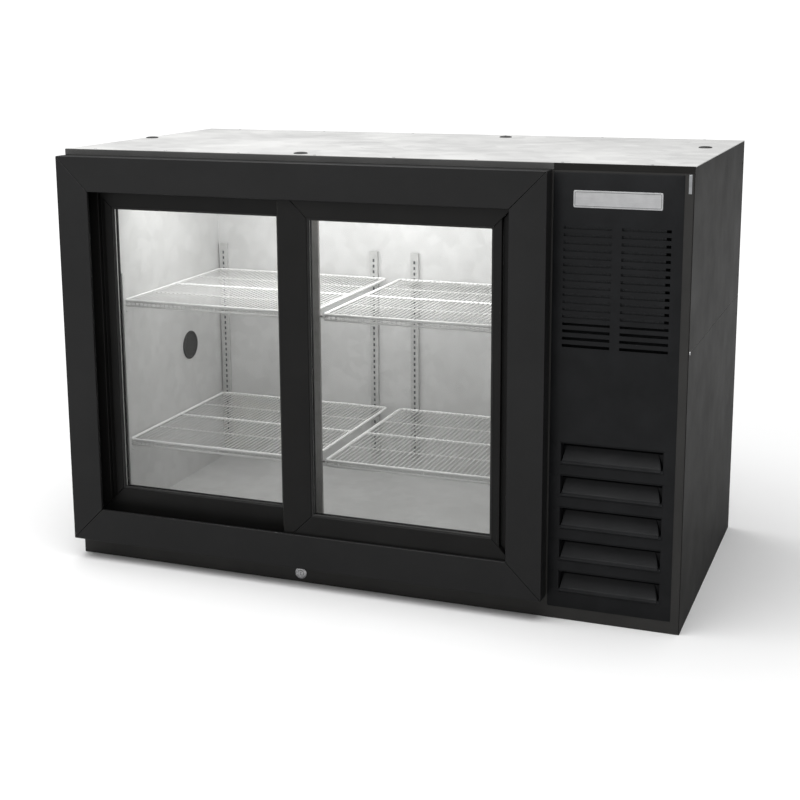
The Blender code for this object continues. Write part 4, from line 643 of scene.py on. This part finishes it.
# ---------------------------------------------------------------- grille
def build_grille():
    """The grille as one surface over x and z, with a screen and a filter behind it.

    Its depth is 0 on the plate. Inside a louvre it is deepest * (1 - (1 - share)^1.25), where share is how
    far up the blade a point is, and past the blade's leaning ends it is the full depth. The slots, and the
    throats over the blades, are left out. The screen is a sine wave across; the filter is a sine of x times
    a sine of z.
    """
    low, high = span("front_grille")
    face = low[1]
    x0, x1, z0, z1 = low[0], high[0], low[2], high[2]
    margin, rib, soft, hem = 0.018, 0.0085, 0.0012, 0.0015
    middle = (x0 + x1) / 2
    left, right = x0 + margin, x1 - margin
    gap_left, gap_right, lean = left + 0.0042, right - 0.0058, 0.0062
    steps = soft * np.array([0, 1])
    xs = np.unique(np.concatenate([
        [x0, x0 + hem, x1 - hem, x1], left + steps, gap_left + steps, gap_right - steps, right - steps,
        np.linspace(gap_left + 0.012, middle - rib, 8), np.linspace(middle + rib, gap_right - 0.012, 8)]))
    first_lip, louvre_pitch, louvre_count = 0.032, 0.060, 5
    lips = z0 + first_lip + louvre_pitch * np.arange(louvre_count)
    opening, throat, deepest = 0.037, 0.010, 0.015
    rise = np.array([-0.004, -0.0028, -0.0020, -0.0012, -0.0006, 0, 0.001, 0.0022, 0.004, 0.010, 0.018,
                     opening - throat, opening - 0.0005, opening, opening + 0.0015])
    slot_top, slot_pitch, slot_height, slot_rows = z1 - 0.091, 0.0130, 0.0054, 17
    tops = slot_top - slot_pitch * np.arange(slot_rows)
    slots = np.concatenate([tops, tops - slot_height])
    zs = np.unique(np.concatenate([[z0, z0 + hem, z1 - hem, z1], (lips[:, None] + rise).ravel(), slots]))
    x, z = np.meshgrid(xs, zs)
    tiny = 1e-6
    inside = (x > left + tiny) & (x < right - tiny)
    up = z[..., None] - lips
    within = (up > -tiny) & (up < opening - tiny)
    share = np.clip(up / (opening - throat), 0, 1)
    blade = (x >= gap_left + soft - tiny) & (x <= gap_right - soft + tiny)
    fall = np.where(blade[..., None], deepest * (1 - (1 - share) ** 1.25), deepest)
    depth = (within * fall).sum(-1)
    side = np.clip(np.minimum(x - left, right - x) / soft, 0, 1)
    slide = (within * share).sum(-1) * lean
    near_left = np.isclose(x, gap_left) | np.isclose(x, gap_left + soft)
    near_right = np.isclose(x, gap_right) | np.isclose(x, gap_right - soft)
    x = x + slide * (0.6 * near_left - near_right)
    lip = np.exp(-((up + 0.0006) / 0.0017) ** 2).sum(-1)
    border = np.clip(1 - np.minimum(np.minimum(x - x0, x1 - x), np.minimum(z - z0, z1 - z)) / hem, 0, 1)
    proud, set_back, gauge = 0.0027, 0.0008, 0.0024
    y = face + set_back + depth * inside * side - proud * lip * inside + set_back * border ** 2
    points = np.stack([x, y, z], -1)
    cx, cz = (x[1:, 1:] + x[:-1, :-1]) / 2, (z[1:, 1:] + z[:-1, :-1]) / 2
    ups = cz[..., None] - lips
    throats = ((ups > opening - throat) & (ups < opening)).any(-1) & (cx > left + soft) & (cx < right - soft)
    row = (slot_top - cz) % slot_pitch
    in_rows = (cz < slot_top) & (cz > tops[-1] - slot_height) & (row < slot_height)
    in_columns = ((cx > left) & (cx < middle - rib)) | ((cx > middle + rib) & (cx < right))
    keep = ~(throats | (in_rows & in_columns))
    grille = make_piece("front_grille_moulding", [sheet(points, keep, -gauge)], MOULDING, "cabinet",
                        turn_out=False, angle=28)
    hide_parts("front_grille")

    rear = face + set_back + gauge
    pleat = 0.0044
    xs = np.arange(left - 0.004, right - rib, pleat / 4)
    zs = np.array([tops[-4] - 0.002, slot_top - 0.02, slot_top - 0.01, slot_top + 0.006])
    x, z = np.meshgrid(xs, zs)
    pleats = np.stack([x, rear + 0.0010 + 0.0003 * np.sin(2 * np.pi * (x - left) / pleat), z], -1)
    whole = np.ones((len(zs) - 1, len(xs) - 1), bool)
    # the screen's raised tone is painted light lifting the shade in the slots
    make_piece("slot_screen", [sheet(pleats, whole, -0.0006)], SCREEN_PAINTED_LIGHT, "cabinet",
               turn_out=False, angle=ROUND)
    x, z = np.meshgrid(np.linspace(x0 + 0.003, x1 - 0.003, 90), np.linspace(z0 + 0.010, z1 - 0.010, 60))
    quilt = np.stack([x, rear + 0.0235 + 0.0008 * np.sin(x * 900) * np.sin(z * 700), z], -1)
    make_piece("intake_filter", [sheet(quilt, np.ones((59, 89), bool), -0.004)], FILTER, "cabinet",
               turn_out=False, angle=ROUND)

    low, high = span("nameplate")
    plate = slab(low, high, "Y", 0.003, 0.0005)
    badge = make_piece("blank_plate", [plate], PLATE, "cabinet")
    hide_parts("nameplate")
    (a, _, c), (b, _, d) = low + 0.003, high - 0.003
    ring = eased([(a, c), (b, c), (b, d), (a, d)], 0.002, 4, closed=True)
    make_piece("blank_plate_border", [tube(place(ring, low[1] + 0.0001, "Y"), 0.0004, (0, 1, 0), 6, True)],
               MACHINE, "cabinet")


# ---------------------------------------------------------------- fittings
def screw_parts(centre, axis, height, radius=0.0040, sign=1):
    """A pan head: over its circle the height is a dome, root of (1 - 0.85 rho^2), less a cross-shaped dip."""
    rho = np.array([1.0, 0.97, 0.8, 0.55, 0.35, 0.15, 0.001])
    turn = np.linspace(0, 2 * np.pi, 16, endpoint=False)
    flat = rho[:, None, None] * np.stack([np.cos(turn), np.sin(turn)], -1)[None]
    dome = 0.42 * np.sqrt(1 - 0.85 * rho ** 2)[:, None] * np.ones(16)
    dome[0] = 0.0
    arm = np.exp(-(np.abs(flat).min(-1) / 0.14) ** 2) * (rho[:, None] < 0.6)
    heights = height + sign * radius * (dome - 0.22 * arm)
    return skin(place(np.asarray(centre) + radius * flat, heights, axis))


def build_top_fittings():
    """Plugs and rivets of the top panel, turned from (radius, height) profiles, and the folded edge along its
    front, a section carried along x."""
    low, high = span("top_panel")
    room = span("inner_liner")
    middle = (low[1] + high[1]) / 2
    bay = span("front_grille")[0][0] - 0.001
    centre_x = (room[0][0] + 0.001 + bay - 0.059) / 2
    plugs = [(low[0] + 0.018, middle), (high[0] - 0.046, middle + 0.091), (centre_x, low[1] + 0.039),
             ((centre_x + bay) / 2, high[1] - 0.063)]
    top = high[2]
    dome = [(0.0095, top - 0.0011), (0.0100, top - 0.0001), (0.0128, top + 0.0001), (0.0132, top + 0.0008),
            (0.0120, top + 0.0018), (0.0080, top + 0.0026), (0.0040, top + 0.0024), (0.0001, top + 0.0022)]
    ease, y = 0.0004, low[1]
    profile = np.array([(y - ease, top - 0.0112), (y - 2 * ease, top - 0.0108), (y - 2 * ease, top - ease),
                        (y - ease, top + 0.0002), (y + 0.004, top + 0.0002), (y + 0.004, top - 0.0001),
                        (y - 0.0001, top - ease), (y - 0.0001, top - 0.0112)])
    # the front fold's grey is partly a painted highlight along the top's front edge
    for name, start, stop, finish in (("top_front_flange", low[0], bay - GAP, FLANGE_PAINTED_HIGHLIGHT),
                                      ("bay_front_flange", bay, high[0], SIDE)):
        ends = np.array([start, start + ease, stop - ease, stop])
        rings = place(np.broadcast_to(profile, (4, *profile.shape)), ends[:, None], "X")
        make_piece(name, [skin(rings)], finish, "cabinet")
    make_piece("top_plugs", [turned(dome, spot, "Z", 28) for spot in plugs], RUBBER, "cabinet")
    edge = 0.012
    rows = [(low[0] + 0.06 + 0.155 * i, low[1] + edge) for i in range(8)]
    rows += [(low[0] + 0.08 + 0.212 * i, high[1] - edge) for i in range(6)]
    head = [(0.0030, top - 0.0004), (0.0030, top + 0.0003), (0.0022, top + 0.0006), (0.0008, top + 0.0002),
            (0.0001, top + 0.0001)]
    rivets = [turned(head, spot, "Z", 14) for spot in rows]
    make_piece("top_rivets", rivets, CHROME, "cabinet")


def build_side_fittings():
    """The bright corner clip, the seam's rivet and joiner, the trim of the bay's rear edge, a section carried
    up, and the screws of the side and back panels."""
    low, high = span("right_panel_upper")
    front, edge = low[1], high[0]
    clip_far, clip_near, clip_proud, clip_bite = 0.0100, 0.0045, 0.0012, 0.0004
    clip_foot, clip_head = 0.044, 0.012
    clip = slab((edge - clip_far, front - clip_proud, high[2] - clip_foot),
                (edge - clip_near, front + clip_bite, high[2] - clip_head), "Y", 0.001, 0.0004)
    make_piece("corner_clip", [clip], FAN, "cabinet")
    seam = low[2] - 0.0008
    make_piece("seam_rivet", [screw_parts((front + 0.008, seam), "X", edge, 0.0034)], CHROME, "cabinet")
    back = span("right_panel_lower")[1][1]
    y0, y1, skin_depth, lap, half = front + 0.004, back - 0.004, 0.0014, 0.010, 0.00045
    joiner = slab((edge - 0.0030, y0, seam - lap), (edge - skin_depth, y1, seam + lap), "Y", 0.0006, 0.0004)
    bead = slab((edge - skin_depth, y0, seam - half), (edge - 0.0002, y1, seam + half), "Y", 0.0002, 0.0004)
    make_piece("seam_joiner", [joiner, bead], GREY_TRIM_AND_LIT_EDGE, "cabinet")
    sheet_high = span("back_panel")[1]
    vent = span("rear_vent_panel")
    x0, x1, y0, y1 = sheet_high[0] + GAP, vent[0][0] + 0.0006, vent[1][1] + GAP, sheet_high[1]
    fold, ease = 0.0012, 0.0005
    profile = np.array([(x0, y1 - fold), (x1 - fold, y1 - fold), (x1 - fold, y0), (x1, y0), (x1, y1 - ease),
                        (x1 - ease, y1), (x0, y1)])
    heights = np.array([0.002, sheet_high[2] - ease])
    make_piece("bay_edge_trim", [skin(place(np.broadcast_to(profile, (2, *profile.shape)), heights[:, None],
                                            "Z"))],
               POWDER, "cabinet")
    near, inset = 0.012, 0.02
    rows = [("right_panel_screws", "X", edge, 1, ENAMEL, "compressor_enamel",
             [(back - near, z) for z in (0.05, 0.27, 0.47, 0.55, 0.78)]),
            ("left_panel_screws", "X", span("left_side_panel")[0][0], -1, ENAMEL, "compressor_enamel",
             [(back - near, z) for z in (0.05, 0.29, 0.53, 0.78)])]
    low, high = span("back_panel")
    a, b, top = low[0] + inset, high[0] - inset, high[2] - inset
    rows.append(("back_panel_screws", "Y", high[1], 1, ENAMEL, "compressor_enamel",
                 [(x, z) for x in np.linspace(a, b, 6) for z in (inset, top)]
                 + [(x, z) for x in (a, b) for z in (0.28, 0.54)]))
    low, high = span("rear_vent_panel")
    rows.append(("vent_panel_screws", "Y", high[1], 1, CHROME, "lock_chrome",
                 [(x, z) for x in (low[0] + near, high[0] - near)
                  for z in (0.03, 0.2, 0.4, 0.6, high[2] - inset)]))
    for name, axis, height, sign, finish, slot, points in rows:
        make_piece(name, [screw_parts(p, axis, height, 0.0036, sign) for p in points], finish, "cabinet")


def build_breaker_strips():
    """Plastic strips that bridge the frame's opening and the liner's front edge at both sides."""
    low, high = span("lower_track")
    track_plate, left_width, right_width = 0.0020, 0.0114, 0.0174
    floor, ceiling = low[2] + track_plate + GAP, span("upper_track")[0][2] - GAP
    y = span("inner_liner")[0][1] - GAP
    for side, start, width in (("left", low[0], left_width), ("right", high[0] - right_width, right_width)):
        strip = slab((start, y - 0.0011, floor), (start + width, y, ceiling), "Z", 0.0004, 0.0004)
        make_piece(f"breaker_strip_{side}", [strip], PAN, "cabinet")


def build_lamp():
    """A lamp strip under the ceiling's front edge: a tray, and a frosted cover whose section is half an
    ellipse, (0.016 cos a, 0.012 sin a), drawn in at both ends."""
    low = span("inner_liner")[0]
    from_left, from_right, behind = 0.10, 0.12, 0.035
    left, right = low[0] + from_left, span("evaporator_cover")[0][0] - from_right
    ceiling, height, half = 0.771, 0.010, 0.022
    y = low[1] + behind
    tray = slab((left, y - half, ceiling - height), (right, y + half, ceiling - GAP), "X", 0.003, 0.001)
    make_piece("lamp_tray", [tray], STRIP, "cabinet")
    turn = np.linspace(np.pi, 2 * np.pi, 11)
    centre = np.array([y, ceiling - height - GAP])
    ring = np.stack([0.016 * np.cos(turn), 0.012 * np.sin(turn)], -1)
    xs = np.array([left + 0.01, left + 0.012, right - 0.012, right - 0.01])
    shrink = np.array([0.8, 1.0, 1.0, 0.8])
    flats = centre + ring[None] * shrink[:, None, None]
    make_piece("lamp_cover_strip", [skin(place(flats, xs[:, None], "X"))], LAMP, "cabinet")


def build_line_plug():
    """The round blanking plug on the left wall: a (radius, height) profile swung about x, with a rib wherever
    cos 3a is over 0.55."""
    low, high = span("line_entry_plug")
    centre = ((low[1] + high[1]) / 2, (low[2] + high[2]) / 2)
    wall = high[0] - 0.003
    big = (high[1] - low[1]) / 2
    rho = np.array([0.85, 0.85, 1.0, 1.0, 0.96, 0.9, 0.84, 0.78, 0.6, 0.42, 0.24, 0.1, 0.002]) * big
    rise = np.array([-0.020, 0.0003, 0.0003, 0.0018, 0.003, 0.003, 0.0022, 0.0012, 0.001, 0.0012, 0.0016,
                     0.002, 0.002])
    turn = np.linspace(0, 2 * np.pi, 48, endpoint=False)
    flat = rho[:, None, None] * np.stack([np.cos(turn), np.sin(turn)], -1)[None]
    ribs = 0.0007 * (np.cos(3 * turn) > 0.55)[None] * ((rho > 0.3 * big) & (rho < 0.8 * big))[:, None]
    heights = wall + rise[:, None] + ribs
    plug = make_piece("line_plug", [skin(place(np.asarray(centre) + flat, heights, "X"))], RUBBER, "cabinet")
    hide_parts("line_entry_plug")


def build_lock():
    """The lock's face: a (radius, depth) profile with a stepped rim, swung about y round its bore."""
    low, high = span("lock_barrel")
    centre = ((low[0] + high[0]) / 2, (low[2] + high[2]) / 2)
    front = low[1]
    bore = 0.0061
    rim, shank, flange = 0.0120, 0.0090, front + 0.0025
    profile = np.array([(bore, front + 0.0004), (bore + 0.0006, front), (0.0096, front),
                        (0.0102, front + 0.0005),
                        (0.0114, front + 0.0006), (rim, front + 0.0012), (rim, flange), (shank, flange),
                        (shank, high[1]), (bore, high[1])])
    turn = np.linspace(0, 2 * np.pi, 40, endpoint=False)
    flat = np.asarray(centre) + profile[:, 0, None, None] * np.stack([np.cos(turn), np.sin(turn)], -1)[None]
    barrel = make_piece("lock_face", [hoop(place(flat, profile[:, 1, None], "Y"))], CHROME, "cabinet")
    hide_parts("lock_barrel")


def build_machine_detail():
    """Coil bends, tubing, drier and terminal box in the machine bay. A bend is a tube along half an ellipse;
    the tubing follows straight runs with curved corners."""
    low, high = span("condenser_coil")
    half_pitch, bulge, inset, bore = 0.0125, 0.0085, 0.010, 0.0032
    turn = np.linspace(-np.pi / 2, np.pi / 2, 9)
    xs = high[0] - 0.0010 + bulge * np.cos(turn)
    bends = []
    for y in (low[1] + inset, high[1] - inset):
        for z in np.arange(low[2] + 0.02, high[2] - 0.03, 4 * half_pitch):
            arc = np.stack([xs, np.full(9, y), z + half_pitch * (1 + np.sin(turn))], -1)
            bends.append(tube(arc, bore, normal=(0, 1, 0)))
    make_piece("condenser_bends", bends, COPPER, "cabinet")
    comp = span("compressor")
    cx, cy = (comp[0][0] + comp[1][0]) / 2, (comp[0][1] + comp[1][1]) / 2
    top, coil_top, coil_rear = comp[1][2], high[2], high[1] + 0.004
    riser_x, riser_y, liquid_x, liquid_y, entry = cx - 0.035, cy - 0.083, cx + 0.045, cy - 0.088, 0.548
    suction = eased([(riser_x, cy - 0.055, top - 0.075), (riser_x, riser_y, top - 0.075),
                     (riser_x, riser_y, top + 0.11), (riser_x, cy + 0.03, top + 0.11),
                     (riser_x, cy + 0.03, entry)], 0.02, 6)
    liquid = eased([(liquid_x, cy - 0.05, top - 0.11), (liquid_x, liquid_y, top - 0.11),
                    (liquid_x, liquid_y, coil_top + 0.03), (liquid_x, coil_rear, coil_top + 0.03),
                    (liquid_x, coil_rear, coil_top - 0.03)], 0.014, 6)
    across = (1, 0.01, 0.02)
    make_piece("refrigerant_tubes", [tube(suction, 0.0048, across), tube(liquid, bore, across)], COPPER,
               "cabinet")
    drier = [(0.003, 0.40), (0.010, 0.41), (0.0115, 0.42), (0.0115, 0.50), (0.010, 0.51), (0.003, 0.52)]
    make_piece("drier", [turned(drier, (riser_x, riser_y), "Z", 20)], FAN, "cabinet")
    box = slab((cx + 0.03, cy + 0.050, top - 0.13), (cx + 0.075, cy + 0.085, top - 0.06), "Y", 0.004, 0.001)
    make_piece("terminal_box", [box], PAN, "cabinet")


# ---------------------------------------------------------------- stage
def build_stage():
    """A plain pale floor that fades into the backdrop with distance, soft lights and the camera."""
    floor = bpy.data.meshes.new("floor")
    reach, level = 9.0, -0.0005
    floor.from_pydata([(-reach, -reach, level), (reach, -reach, level), (reach, reach, level),
                       (-reach, reach, level)], [], [(0, 1, 2, 3)])
    backdrop, room_light, shade, far_light = 1.15, 0.40, 0.5, 0.8
    material, shader, add = new_finish("floor_paper")
    seen = add("ShaderNodeLightPath").outputs["Is Camera Ray"]
    keep = add("ShaderNodeMapRange", seen, To_Min=shade, To_Max=1.0)
    paper = tinted(add, pattern(add, 3, 3), (0.90, 0.90, 0.90), (0.93, 0.93, 0.93))
    paper = add("ShaderNodeVectorMath", paper, operation="SCALE", Scale=keep.outputs[0])
    feed(shader, Base_Color=paper.outputs[0], Roughness=0.9, Specular_IOR_Level=0.1)
    where = add("ShaderNodeTexCoord").outputs["Object"]
    distance = add("ShaderNodeVectorMath", where, operation="LENGTH").outputs["Value"]
    power = add("ShaderNodeMapRange", seen, To_Min=far_light, To_Max=backdrop)
    glow = add("ShaderNodeEmission", Strength=power.outputs[0])
    fade = spread(add, distance, 0, 1, 0.9, 2.4)
    show(material, add("ShaderNodeMixShader", fade, shader.outputs[0], glow.outputs[0]).outputs[0])
    floor.materials.append(material)
    thing = bpy.data.objects.new("floor", floor)
    bpy.context.scene.collection.objects.link(thing)

    world = bpy.data.worlds.new("studio")
    bpy.context.scene.world = world
    world.use_nodes = True
    nodes, add, white = world.node_tree.nodes, adder(world.node_tree), (1, 1, 1, 1)
    feed(nodes["Background"], Color=white, Strength=room_light)
    bright = add("ShaderNodeBackground", white, backdrop)
    seen = add("ShaderNodeLightPath").outputs["Is Camera Ray"]
    mix = add("ShaderNodeMixShader", seen, nodes["Background"].outputs[0], bright.outputs[0])
    feed(nodes["World Output"], Surface=mix.outputs[0])

    def area(name, where, aim, size, power):
        data = bpy.data.lights.new(name, "AREA")
        data.shape = "RECTANGLE"
        data.size, data.size_y = size
        data.energy = power
        lamp = bpy.data.objects.new(name, data)
        lamp.location = where
        lamp.rotation_euler = (Vector(aim) - Vector(where)).to_track_quat("-Z", "Y").to_euler()
        lamp.visible_camera = False
        bpy.context.scene.collection.objects.link(lamp)

    area("overhead", (-0.3, -0.4, 2.9), (-0.1, 0.0, 0.0), (4.0, 3.0), 125)
    area("front_fill", (-1.6, -3.4, 1.7), (-0.2, 0.0, 0.4), (2.2, 1.6), 9)
    area("inside_ceiling", (-0.11, 0.0, 0.766), (-0.11, 0.02, 0.0), (0.72, 0.22), 2.15)
    area("inside_lamp", (-0.14, -0.165, 0.750), (-0.14, 0.22, 0.60), (0.78, 0.03), 0.78)

    data = bpy.data.cameras.new("camera")
    camera = bpy.data.objects.new("camera", data)
    bpy.context.scene.collection.objects.link(camera)
    left, front, height = -0.6095, -0.282, 0.826
    aside, before, above = 1.9436, 2.9003, 1.2747      # in cabinet heights from the front's left lower corner
    camera.location = (left + aside * height, front - before * height, above * height)
    yaw, pitch, roll = math.radians(20.802), math.radians(11.475), math.radians(-0.274)
    ahead = Vector((-math.sin(yaw) * math.cos(pitch), math.cos(yaw) * math.cos(pitch), -math.sin(pitch)))
    aim = ahead.to_track_quat("-Z", "Y").to_matrix() @ Matrix.Rotation(roll, 3, "Z")
    camera.rotation_euler = aim.to_euler()
    sensor, focal_share = 36, 1437.8 / 800
    data.sensor_width = sensor
    data.lens = focal_share * sensor
    data.shift_y = -0.10
    bpy.context.scene.camera = camera
    bpy.context.scene.view_settings.view_transform = "Standard"
    bpy.context.scene.view_settings.look = "None"


dress_cad()
build_surround()
build_door("front_door", "right")
build_door("back_door", "left")
for shelf_name in ("shelf_lower_left", "shelf_lower_right", "shelf_upper_left", "shelf_upper_right"):
    build_shelf(shelf_name)
build_strips()
build_grille()
build_top_fittings()
build_side_fittings()
build_breaker_strips()
build_lamp()
build_line_plug()
build_lock()
build_machine_detail()
build_stage()
